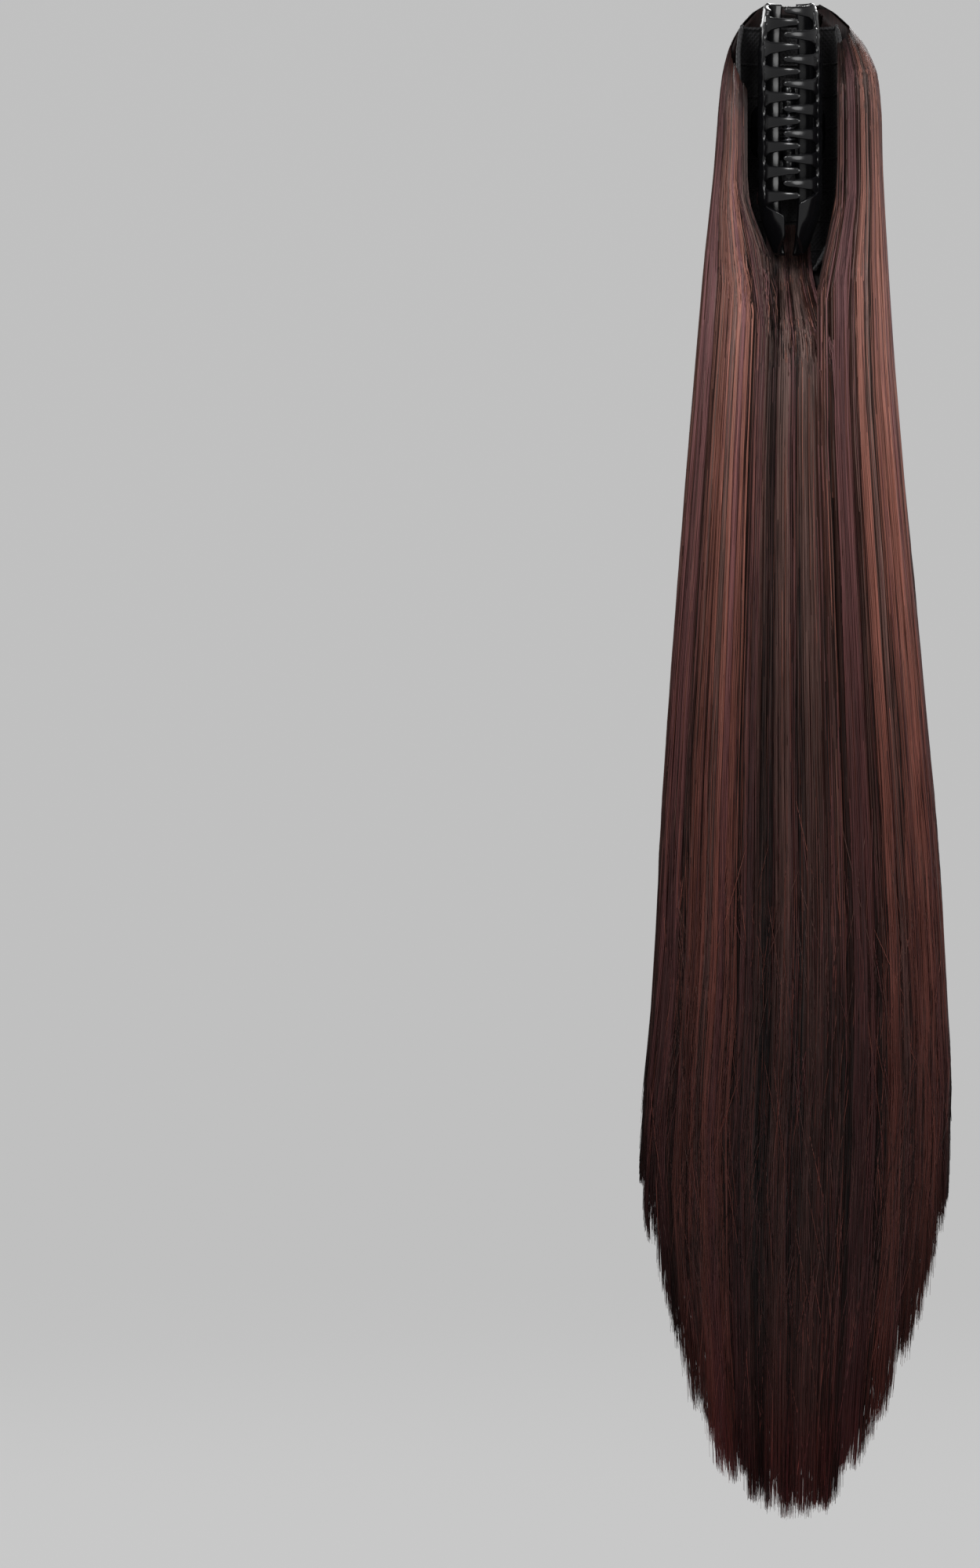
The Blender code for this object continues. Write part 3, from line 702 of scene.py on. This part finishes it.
# along: share of the fall. crown: share of the crown's width. spread: share of what the fullest part adds.
# shift: share of the widest part, to the right. outer, front: shares of the two depths.
hairForm = (
    (0.000, 0.30, 0.00, -0.010, 0.26, 0.10),
    (0.007, 0.51, 0.00, -0.008, 0.45, 0.26),
    (0.018, 0.70, 0.00, -0.002, 0.62, 0.44),
    (0.032, 0.85, 0.00, 0.006, 0.77, 0.68),
    (0.052, 0.955, 0.00, 0.012, 0.92, 0.90),
    (0.085, 1.00, 0.00, 0.011, 1.00, 0.98),
    (0.130, 1.00, 0.06, 0.004, 0.99, 1.00),
    (0.175, 1.00, 0.14, -0.001, 0.88, 0.98),
    (0.215, 1.00, 0.20, -0.003, 0.76, 0.92),
    (0.280, 1.00, 0.30, -0.006, 0.64, 0.80),
    (0.360, 1.00, 0.45, -0.001, 0.55, 0.66),
    (0.460, 1.00, 0.62, 0.003, 0.49, 0.56),
    (0.560, 1.00, 0.78, 0.010, 0.46, 0.50),
    (0.650, 1.00, 0.87, 0.014, 0.45, 0.47),
    (0.740, 1.00, 1.00, -0.001, 0.43, 0.45),
    (0.800, 1.00, 0.97, -0.008, 0.39, 0.41),
    (0.870, 1.00, 0.83, -0.010, 0.31, 0.33),
    (0.940, 1.00, 0.66, -0.014, 0.20, 0.22),
    (1.000, 1.00, 0.53, -0.018, 0.12, 0.14),
)
# How far down the fibres reach. place: across, -1 left edge to 1 right edge. tip: share of the fall.
tipForm = ((-1.0, 0.775), (-0.95, 0.803), (-0.90, 0.832), (-0.83, 0.873), (-0.72, 0.922), (-0.55, 0.960),
           (-0.40, 0.975), (-0.22, 0.987), (-0.04, 1.0), (0.12, 0.999), (0.24, 0.990), (0.36, 0.974),
           (0.50, 0.960), (0.63, 0.938), (0.80, 0.886), (0.90, 0.856), (0.96, 0.813), (1.0, 0.79))
# Locks of the front, which lies against the head, as start, hue, light and lift. start: where a lock starts
# across, and the last row closes the right edge. hue: 0 espresso, 1 plum, 2 auburn, 3 taupe. light: 0 to 1.
# lift: share of the relief that it stands proud, and the narrow sunk ones are the partings, whose low light
# is painted shade.
frontLocks = (
    (-1.00, 1, 0.48, -0.2), (-0.95, 1, 0.52, 0.2), (-0.84, 2, 0.40, 0.0), (-0.70, 2, 0.66, 0.5),
    (-0.46, 0, 0.22, -0.9), (-0.415, 1, 0.46, 0.3), (-0.27, 0, 0.16, -1.0), (-0.185, 3, 0.52, 0.4),
    (-0.055, 0, 0.28, -0.4), (-0.01, 3, 0.50, 0.4), (0.27, 0, 0.20, -1.0), (0.335, 1, 0.50, 0.3),
    (0.515, 0, 0.26, -0.9), (0.59, 2, 0.60, 0.4), (0.68, 3, 0.42, 0.0), (0.74, 2, 0.78, 0.3),
    (0.965, 1, 0.55, -0.2), (1.00, 1, 0.50, -0.2),
)
outerLocks = (
    (-1.00, 2, 0.36, -0.2), (-0.90, 2, 0.56, 0.2), (-0.78, 1, 0.48, 0.1), (-0.62, 3, 0.46, 0.2),
    (-0.45, 1, 0.46, 0.0), (-0.30, 3, 0.52, 0.3), (-0.12, 1, 0.50, 0.1), (0.03, 3, 0.54, 0.2),
    (0.20, 1, 0.50, 0.1), (0.36, 3, 0.48, 0.2), (0.52, 1, 0.46, 0.0), (0.66, 1, 0.44, 0.2),
    (0.80, 2, 0.54, 0.2), (0.93, 2, 0.34, -0.2), (1.00, 1, 0.30, -0.2),
)


# Half width, middle and the two depths of the fall at a share of its length
def fallShape(along):
    crownWidth, widest = hair["crownWidth"], hair["widest"]
    half = (readTable(hairForm, 1, along) * crownWidth
            + readTable(hairForm, 2, along) * (widest - crownWidth)) / 2
    middle = hair["sideways"] + readTable(hairForm, 3, along) * widest
    outer = readTable(hairForm, 4, along) * hair["outerDepth"]
    front = readTable(hairForm, 5, along) * hair["frontDepth"]
    return half, middle, outer, front


# Height of the oval section over the layer plane: (1 - |place|^power)^(1/power)
def oval(place):
    power = hair["fullness"]
    return np.maximum(1 - np.abs(place) ** power, 0.0) ** (1 / power)


# Place across for even steps along the curve of a section as wide and deep as the fall's middle
def evenPlace(share):
    halfWidth, depth = 45, 11  # millimetres
    angle = np.linspace(math.pi, 0, 400)
    power = 2 / hair["fullness"]
    x = signedPower(np.cos(angle), power) * halfWidth
    y = np.sin(angle).clip(0) ** power * depth
    length = np.concatenate([[0], np.cumsum(np.hypot(np.diff(x), np.diff(y)))])
    return np.interp(share, length / length[-1], x / halfWidth)


# What a layer's lock table says at a place: hue, lightness, height over the mean surface in shares of the
# relief, and how near the crest of the lock it is
def lockAt(layer, place):
    rows = np.array(outerLocks if layer > 0 else frontLocks)
    index = np.clip(np.searchsorted(rows[:, 0], place, side="right") - 1, 0, len(rows) - 2)
    share = (place - rows[index, 0]) / (rows[index + 1, 0] - rows[index, 0])
    crest = np.sin(math.pi * np.clip(share, 0, 1)) ** 0.7
    return rows[index, 1], rows[index, 2], (crest - 0.55) * 0.8 + rows[index, 3] * 0.75, crest


# Beside the claw the front locks end at its hollow; below it they close in to a share of the half width
sideForm = {"left": 17.0 * mm, "right": 18.0 * mm, "place": 0.20, "leaves": 0.128, "closes": 0.195}
# The inner hair leaves the base through its narrow lower end, then spreads and comes forward
innerForm = {"place": 0.42, "neck": 0.58, "spreadFrom": 0.172, "spreadTo": 0.25, "riseFrom": 0.168,
             "riseTo": 0.232}


# Where a part of the hair is at a place across and a share of the fall: x, and the depth from the plane
def partAt(part, place, along):
    half, middle, outer, front = fallShape(along)
    x = middle + half * place
    if part in ("left", "right"):
        side = 1 if part == "right" else -1
        beside, below = sideForm[part], sideForm["place"] * half + side * middle
        near = beside + (below - beside) * ease(sideForm["leaves"], sideForm["closes"], along)
        far = half + side * middle
        q = (np.abs(place) - sideForm["place"]) / (1 - sideForm["place"])
        x = side * (near + q * (far - near))
    if part == "inner":
        spread = ease(innerForm["spreadFrom"], innerForm["spreadTo"], along)
        x = half * place * (innerForm["neck"] + (1 - innerForm["neck"]) * spread) + middle * spread
    depth = outer if part == "crown" else front
    thick = depth * oval(np.clip((x - middle) / half, -1, 1))
    if part == "inner":
        thick = thick * ease(innerForm["riseFrom"], innerForm["riseTo"], along)
    return x, thick


# Room that the front hair leaves: ahead of the base's edges, and further ahead where an open claw half
# comes by. swing: heights and how far out from the middle the half comes there.
roomLook = {
    "edge": 1.1 * mm,
    "beside": 1.0 * mm,
    "front": -6.6 * mm,
    "swing": ((-62 * mm, 8.0 * mm), (-57 * mm, 13.5 * mm), (-45 * mm, 18.4 * mm)),
}


# Keeps hair off the base and the claw: the outer layer behind the cup's back, and the front ones as above
def keepClear(layer, x, y, z, gap):
    cupHalf, cupBack, cupFront, within = cupAt(z)
    if layer > 0:
        power = cup["squareness"]
        arch = np.maximum(1 - np.abs(x / cupHalf) ** power, 0) ** (1 / power)
        behind = (np.abs(x) < cupHalf) & (within > 0)
        return np.where(behind, np.maximum(y, pinBack + cupBack * arch + gap), y)
    ahead = (within > 0) & (np.abs(x) < cupHalf + roomLook["beside"])
    y = np.where(ahead, np.minimum(y, cupFront - roomLook["edge"]), y)
    heights, swung = np.transpose(roomLook["swing"])
    beside = (np.abs(x) < np.interp(z, heights, swung)) & (z > heights[0]) & (z < claw["top"] + 1 * mm)
    return np.where(beside, np.minimum(y, roomLook["front"]), y)


# The groups of strands. low, high: places across. start: share of the fall where they leave the base, at
# the outer edge and at the inner one, and its jitter. rise: over what share side hair comes to the surface.
groupKeys = ("part", "low", "high", "start", "rise", "count", "replaced")
strandGroups = {
    "crownStrandsLeft": ("crown", -1.0, 0.0, (0.001, 0.001, 0.003), 0, 2050, ["crown_hair"]),
    "crownStrandsRight": ("crown", 0.0, 1.0, (0.001, 0.001, 0.003), 0, 2050, []),
    "sideStrandsLeft": ("left", -1.0, -0.20, (0.032, 0.066, 0.014), 0.030, 1750, ["side_hair_left"]),
    "sideStrandsRight": ("right", 0.20, 1.0, (0.018, 0.034, 0.012), 0.022, 1750, ["side_hair_right"]),
    "innerStrands": ("inner", -0.42, 0.42, (0.150, 0.150, 0.014), 0, 1700, ["inner_hair"]),
}
# Shares of a strand at which its points lie
crownRows = np.array((0.0, 0.001, 0.007, 0.016, 0.030, 0.050, 0.085, 0.15, 0.25, 0.37, 0.50, 0.62, 0.73,
                      0.82, 0.91, 1.0))
frontRows = np.array((0.0, 0.012, 0.028, 0.048, 0.075, 0.11, 0.17, 0.27, 0.40, 0.54, 0.66, 0.76, 0.88, 1.0))
# How strands lie. The chances are shares of the strands, and the rest are shares of the fall unless noted.
strandLook = {
    "under": 0.05,  # share of the depth that a strand lies under the surface
    "sunk": (0.18, 0.30),  # chance and most of some that lie deeper
    "uneven": 0.011,  # of tips
    "clumpUneven": 0.006,
    "clumpSeed": 77,
    "short": (0.22, 0.22),  # chance and most of what a short one lacks
    "stub": (0.09, 0.035, 0.075),  # chance and length of short black fibres under the claw, which also stand in as painted shade under its lower end
    "pinch": 0.30,  # share by which a clump closes, and by how much it opens again
    "opening": 0.15,
    "drift": 0.004,  # shares of the way across
    "tipDrift": 0.010,
    "wave": 0.45 * mm,
    "waveDeep": 0.35 * mm,
    "root": 0.78,  # share of the depth where side hair leaves the base
}
clumpKinds = 400  # different clumps, which then repeat


# Relief of the locks and clumps at a share of the fall: less where the hair thins towards the tips
def calmed(along):
    return 1 - 0.55 * ease(0.50, 0.85, along)


# A strand's line. Its place across is its clump's middle plus its own offset, pinched a little further
# down; x and depth come from the layer's surface; z falls evenly. Slow waves and a growing sideways drift
# are added, the roots are tucked in, and whatever would enter the base is moved clear of it.
def strandLines(group):
    count, part, look = group["count"], group["part"], strandLook
    layer = 1 if part == "crown" else -1
    shares = np.linspace(0, 1, 500)
    share = draw.uniform(*np.interp([group["low"], group["high"]], evenPlace(shares), shares), count)
    clumps = 135 * mm / hair["clumpWidth"]
    clumpOf = np.floor(share * clumps + 0.3 * np.sin(share * clumps * 0.7))
    clumpMiddle = (clumpOf + 0.5) / clumps
    placeHere = evenPlace(share)
    deeper = np.abs(draw.normal(0, look["under"], count))
    chance, most = look["sunk"]
    deeper = deeper + most * (draw.random(count) < chance) * draw.random(count)
    outerStart, innerStart, jitter = group["start"]
    inward = (1 - np.abs(placeHere)) / (1 - min(abs(group["low"]), abs(group["high"])) + 1e-9)
    start = outerStart + (innerStart - outerStart) * inward + jitter * draw.uniform(-0.3, 0.7, count)
    start = np.maximum(start, 0.0)[:, None]
    clumpKind = clumpOf.astype(int) % clumpKinds
    clumpDraw = np.random.default_rng(look["clumpSeed"])
    clumpTip = clumpDraw.normal(0, look["clumpUneven"], clumpKinds)[clumpKind]
    tip = readTable(tipForm, 1, placeHere) - np.abs(draw.normal(0, look["uneven"], count)) + clumpTip
    chance, most = look["short"]
    short = draw.random(count) < chance
    tip = np.minimum(tip - short * draw.uniform(0.0, most, count), 1.0)
    chance, shortest, longest = look["stub"]
    stub = (draw.random(count) < chance) & (part == "inner")
    tip = np.where(stub, start[:, 0] + draw.uniform(shortest, longest, count), tip)

    along = start + (tip[:, None] - start) * (crownRows if layer > 0 else frontRows)
    fromRoot = along - start
    pinch = 1 - look["pinch"] * ease(0.10, 0.60, along) + look["opening"] * ease(0.7, 1.0, along)
    offset = (share - clumpMiddle)[:, None]
    wander = (look["drift"] * draw.normal(0, 1, (count, 1)) * along
              + look["tipDrift"] * draw.normal(0, 1, (count, 1)) * ease(0.60, 1.0, along) ** 1.5)
    place = evenPlace(np.clip(clumpMiddle[:, None] + offset * pinch + wander, 0.0, 1.0))
    place = np.clip(place, group["low"] - 0.10 * along, group["high"] + 0.10 * along)
    x, thick = partAt(part, place, along)
    _, _, height, crest = lockAt(layer, placeHere)
    grow = ease(0.02, 0.10, along) if layer > 0 else ease(0.0, 0.06, fromRoot)
    calm = grow * calmed(along)
    bulge = np.cos(math.pi * 2 * (share - clumpMiddle) * clumps * 0.5) - 0.6
    thick = thick * (1 - deeper[:, None])
    thick = thick + (height * hair["lockRelief"])[:, None] * calm
    thick = thick + (bulge * hair["clumpRelief"])[:, None] * calm
    if part in ("left", "right"):
        thick = thick * (look["root"] + (1 - look["root"]) * ease(0.0, group["rise"], fromRoot))
    wave = draw.uniform(0, 2 * math.pi, (2, count, 1))
    rate = draw.uniform(2.0, 5.0, (2, count, 1))  # waves over the whole fall
    free = ease(0.10, 0.5, along)
    across, deep = np.sin(wave + rate * 2 * math.pi * along)
    x = x + look["wave"] * free * across
    thick = np.maximum(thick, 0.2 * mm) + look["waveDeep"] * free * deep
    y = hair["plane"] + layer * (0.2 * mm + thick)
    z = hair["top"] - hairLength * along
    if part == "inner":
        # Behind the claw's lower end the roots lie against the base
        y = y + 1.2 * mm * (1 - ease(0.160, 0.174, along))
        inside = cupAt(z)[0] * 0.8
        x = np.where(z > cup["bottom"], np.clip(x, -inside, inside), x)
    else:
        y = keepClear(layer, x, y, z, 0.5 * mm)
    if layer > 0:
        # The first ring is tucked forward and down over the base's top edge
        depth = np.abs(draw.normal(0, 1.0, count))
        x[:, 0] *= 0.86
        y[:, 0] = hair["plane"] + (0.3 + 0.7 * depth) * mm
        z[:, 0] = z[:, 1] - (4.0 + 1.5 * depth) * mm
    return np.stack([x, y, z], -1), along, fromRoot, share, placeHere, crest, clumpKind, stub


# How tones vary: each lock has its hue and light, and clumps and strands differ from it
toneLook = {
    "crossOver": 0.028,  # place across, at which a strand takes its neighbour lock's tone
    "clumpLight": 0.10,
    "clumpSeed": 31,
    "clumpHues": (-1, -1, -1, -1, -1, 0, 1, 3),  # drawn evenly, and -1 keeps the lock's hue
    "otherHue": 0.30,  # chance
    "light": 0.11,
    "bright": (0.04, 0.25),  # chance and how much
}


# Tone of each strand along it: its hue and its light, with painted shade at the root where it leaves the
# base
def strandTone(group, fromRoot, placeHere, crest, clumpKind, stub):
    count, look = len(placeHere), toneLook
    layer = 1 if group["part"] == "crown" else -1
    hue, light, _, _ = lockAt(layer, placeHere + draw.normal(0, look["crossOver"], count))
    clumpDraw = np.random.default_rng(look["clumpSeed"])
    clumpLight = clumpDraw.normal(0, look["clumpLight"], clumpKinds)[clumpKind]
    clumpHue = np.array(look["clumpHues"])[clumpDraw.integers(0, 8, clumpKinds)][clumpKind]
    hue = np.where((clumpHue >= 0) & (light > 0.3), clumpHue, hue)
    hue = np.where(draw.random(count) < look["otherHue"], draw.integers(0, 4, count), hue)
    # Lighter on a lock's crest and darker at its sides: painted light and shade
    light = light * (0.82 + 0.22 * crest) + clumpLight + draw.normal(0, look["light"], count)
    chance, more = look["bright"]
    light = np.where(draw.random(count) < chance, light + more, light)
    # Black stubs: dark fibres that also serve as painted shade under the claw's lower end
    light = np.where(stub, 0.0, light)
    # Painted shade over the first stretch from the root, longer for the inner hair under the claw
    paintedRootShade = 0.25 + 0.75 * ease(0.0, 0.05 if group["part"] == "inner" else 0.030, fromRoot)
    return (np.where(stub, 0, hue)[:, None] + np.clip(light[:, None] * paintedRootShade, 0.02, 0.96)) / 4


# Strips of the map for swept strands of three sides: U the tone, V the share of the fall. An end's triangle
# has its own two corners apart in V, so that it has an area.
def strandMap(tone, along):
    strip = 0.0012
    u = tone[:, :, None] + strip * np.arange(4) / 3
    grid = np.stack([u, np.broadcast_to(along[:, :, None], u.shape)], -1)
    side = np.stack([grid[:, :-1, :-1], grid[:, :-1, 1:], grid[:, 1:, 1:], grid[:, 1:, :-1]], 3)
    corner = np.array([[0, 0], [0, 0.001], [0, 0]])
    ends = np.concatenate([grid[:, 0, :3][:, ::-1] + corner, grid[:, -1, :3] - corner])
    return np.concatenate([side.reshape(-1, 2), ends.reshape(-1, 2)])


# Direction along the oval's curve at a share of it, for a strand's first corner
def alongOval(share, layer):
    angle = math.pi * (1 - share)
    return np.stack([-np.sin(angle), np.cos(angle) * layer, np.zeros(len(share))], -1)[:, None, :]


def addStrands(name, lines, width, around, tone, along, replaced):
    shape = sweep(lines, width, width, around, sides=3)
    if signedVolume(*shape) < 0:
        raise SystemExit(f"{name} is inside out")
    addPiece(name, shape, fibre, "hairpiece", replaced, strandMap(tone, along))


def makeStrands(name, group):
    lines, along, fromRoot, share, placeHere, crest, clumpKind, stub = strandLines(group)
    tone = strandTone(group, fromRoot, placeHere, crest, clumpKind, stub)
    taper = 1 - 0.65 * ease(0.86, 1.0, np.linspace(0, 1, along.shape[1]))[None, :]
    width = hair["strandWidth"] / 2 * draw.uniform(0.75, 1.2, (group["count"], 1)) * taper
    layer = 1 if group["part"] == "crown" else -1
    if layer > 0:
        along[:, 0] -= 0.004  # keeps the map's tucked end apart
    addStrands(name, lines, width, alongOval(share, layer), tone, along, group["replaced"])


for name, values in strandGroups.items():
    makeStrands(name, dict(zip(groupKeys, values)))


# Loose fibres of the lower half that lie a little aslant on the surface and cross their neighbours
crossingLook = {
    "from": 0.52,  # shares of the fall
    "to": 0.95,
    "shortest": 0.05,
    "longest": 0.12,
    "slant": 0.050,  # place across, from the middle to an end
    "arch": 0.6 * mm,
    "light": (0.80, 0.12),  # mean and spread
}
crossingGroups = {"crossingStrandsFront": (-1, 1000), "crossingStrandsOuter": (1, 800)}


# A fibre's line lies on the oval surface, bowed: thick + (0.5 - 1.1 s^2) * arch, with s from -1 to 1
def makeCrossing(name, layer, count):
    rows = np.array((0.0, 0.2, 0.45, 0.75, 1.0))
    share = draw.uniform(0.06, 0.94, count)
    placeHere = evenPlace(share)
    length = draw.uniform(crossingLook["shortest"], crossingLook["longest"], count)
    lowest = readTable(tipForm, 1, placeHere) - 0.01
    first, last = crossingLook["from"], crossingLook["to"]
    begin = draw.uniform(first, 1, count)
    begin = np.minimum(first + (lowest - length - first) * (begin - first) / (1 - first), last)
    along = begin[:, None] + length[:, None] * rows
    place = placeHere[:, None] + draw.normal(0, crossingLook["slant"], (count, 1)) * (rows - 0.5) * 2
    half, middle, outer, front = fallShape(along)
    x = middle + half * np.clip(place, -0.98, 0.98)
    _, _, height, _ = lockAt(layer, placeHere)
    thick = (outer if layer > 0 else front) * oval(place)
    thick = thick + (height * hair["lockRelief"])[:, None] * calmed(along)
    thick = thick + (0.5 - 1.1 * (2 * np.abs(rows - 0.5)) ** 2) * crossingLook["arch"]
    y = hair["plane"] + layer * np.maximum(thick, 0.3 * mm)
    lines = np.stack([x, y, hair["top"] - hairLength * along], -1)
    hue = draw.integers(0, 4, count)
    light = np.clip(draw.normal(*crossingLook["light"], count), 0.3, 0.95)
    tone = (hue + light)[:, None] / 4 + 0 * along
    taper = np.array((0.5, 1, 1, 0.9, 0.4))
    width = hair["strandWidth"] / 2 * draw.uniform(0.6, 0.95, (count, 1)) * taper
    addStrands(name, lines, width, alongOval(share, layer), tone, along, [])


for name, (layer, count) in crossingGroups.items():
    makeCrossing(name, layer, count)


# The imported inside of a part, under its strands: places across and shares of the fall, from and to
packedLook = {
    "crownPacked": ("crown", (-1, 1), (0.004, 0.955)),
    "sidePackedLeft": ("left", (-1, -0.42), (0.085, 0.92)),
    "sidePackedRight": ("right", (0.42, 1), (0.065, 0.92)),
    "innerPacked": ("inner", (-0.42, 0.42), (0.185, 0.955)),
}


# Two sheets, one under the strands and a flat one at the layer plane, both kept off the base and drawn
# together where the fibres end
def packedPart(name, part, across, down):
    layer = 1 if part == "crown" else -1
    along = np.linspace(*down, 60)[:, None]
    place = np.linspace(*across, 44)[None, :] + 0 * along
    half, middle, _, _ = fallShape(along)
    x, thick = partAt(part, place, along)
    z = hair["top"] - hairLength * along + 0 * x
    cupHalf, _, _, within = cupAt(z)
    if part in ("left", "right"):
        side = 1 if part == "right" else -1
        inner = min(abs(edge) for edge in across)
        q = (np.abs(place) - inner) / (1 - inner)
        near = np.where(within > 0, cupHalf + 0.7 * mm, 0)
        near = np.maximum(near, innerForm["place"] * half + side * middle)
        x = side * (near + q * np.maximum(half + side * middle - near, 0.5 * mm))
    x = middle + (x - middle) * 0.985
    _, _, height, _ = lockAt(layer, place)
    tipHere = readTable(tipForm, 1, np.clip((x - middle) / half, -1, 1))
    ends = 1 - ease(-0.11, -0.02, along - tipHere)
    thick = thick * 0.84 - 0.6 * mm + height * hair["lockRelief"] * 0.5
    thick = np.maximum(thick, 0.1 * mm) * ends + 0.05 * mm
    plane = hair["plane"] + layer * 0.2 * mm + 0 * x
    y = hair["plane"] + layer * (0.2 * mm + thick)
    if layer > 0:
        plane = keepClear(1, x, plane, z, 0.4 * mm)
        y = np.maximum(y, plane + 0.1 * mm)
    z = z + (1 - ends) * np.maximum(along - tipHere + 0.06, 0) * hairLength
    sheets = sheetSolid(np.stack([x, y, z], -1), np.stack([x, plane, z], -1))
    addPiece(name, facingOut(sheets), packed, "hairpiece")


for name, (part, across, down) in packedLook.items():
    packedPart(name, part, across, down)
print("hair made")


# Camera, lights and stage

# The photograph: its size, the object's middle and its zero height in pixels, and one pixel's size
photo = {"width": 1250, "height": 2000, "middle": 1006, "zero": 140, "scale": 0.306 * mm}
cameraLook = {"lens": 135.0, "sensor": 36.0, "plane": 12 * mm}


def addCamera():
    data = bpy.data.cameras.new("photoCamera")
    data.lens = cameraLook["lens"]
    data.sensor_width = cameraLook["sensor"]
    camera = addObject("photoCamera", data)
    x = (photo["width"] / 2 - photo["middle"]) * photo["scale"]
    z = (photo["zero"] - photo["height"] / 2) * photo["scale"]
    distance = cameraLook["lens"] / cameraLook["sensor"] * photo["height"] * photo["scale"]
    camera.location = (x, cameraLook["plane"] - distance, z)
    camera.rotation_euler = (math.pi / 2, 0, 0)
    bpy.context.scene.camera = camera


# Softboxes: place, diameter, watts and the point that each is aimed at
lightLook = {
    "frontKey": ((-0.9, -1.9, 1.3), 0.9, 40, (0, 0, -0.05)),
    "frontFill": ((1.4, -1.8, 0.5), 1.2, 22, (0, 0, -0.10)),
    "clawSpark": ((0.25, -1.2, 0.75), 0.20, 2.2, (0, 0, 0)),
    "backKey": ((0.7, 2.1, 1.2), 1.1, 34, (0, 0, -0.05)),
    "backFill": ((-1.3, 1.9, 0.4), 1.2, 16, (0, 0, -0.10)),
}


def addLights():
    for name, (place, size, power, aim) in lightLook.items():
        data = bpy.data.lights.new(name, "AREA")
        data.shape = "DISK"
        data.size = size
        data.energy = power
        light = addObject(name, data)
        light.location = place
        light.rotation_euler = (Vector(aim) - Vector(place)).to_track_quat("-Z", "Y").to_euler()
    world = bpy.data.worlds.new("studioAir")
    world.use_nodes = True
    sky = world.node_tree.nodes["Background"]
    sky.inputs["Color"].default_value = grey(0.8)
    sky.inputs["Strength"].default_value = 0.35
    bpy.context.scene.world = world
    bpy.context.scene.view_settings.view_transform = "Standard"


stageLook = {"floor": -0.75, "flat": 4.6, "wall": 7.2, "height": 5.0, "paint": "#464646", "glow": 0.50}


# Seamless pale floor that curves up into a round wall: a profile turned about the vertical axis, closed by
# a small cap in the middle. Its own glow keeps it one even grey.
def addStage():
    material, _, shader = newMaterial("mattPaperPaleGrey", stageLook["paint"], 0.95, specular=0.0)
    shader.inputs["Emission Color"].default_value = grey(1.0)
    shader.inputs["Emission Strength"].default_value = stageLook["glow"]
    bend = stageLook["wall"] - stageLook["flat"]
    turn = np.linspace(0, math.pi / 2, 16)
    radius = np.concatenate([[0.3, 2.5], stageLook["flat"] + bend * np.sin(turn), [stageLook["wall"]]])
    rise = np.concatenate([[0, 0], bend * (1 - np.cos(turn)), [stageLook["height"]]]) + stageLook["floor"]
    around = np.linspace(0, 2 * math.pi, 96, endpoint=False)[:, None]
    points = np.stack([radius * np.cos(around), radius * np.sin(around), rise + 0 * around], -1)
    columns = len(radius)
    faces = gridQuads(96, columns, closeRows=True).tolist() + [[k * columns for k in range(96)]]
    mesh = bpy.data.meshes.new("stage")
    mesh.from_pydata(points.reshape(-1, 3).tolist(), [], faces)
    mesh.shade_smooth()
    mesh.materials.append(material)
    stage = addObject("stage", mesh)


addCamera()
addLights()
addStage()
print("camera, lights and stage made")
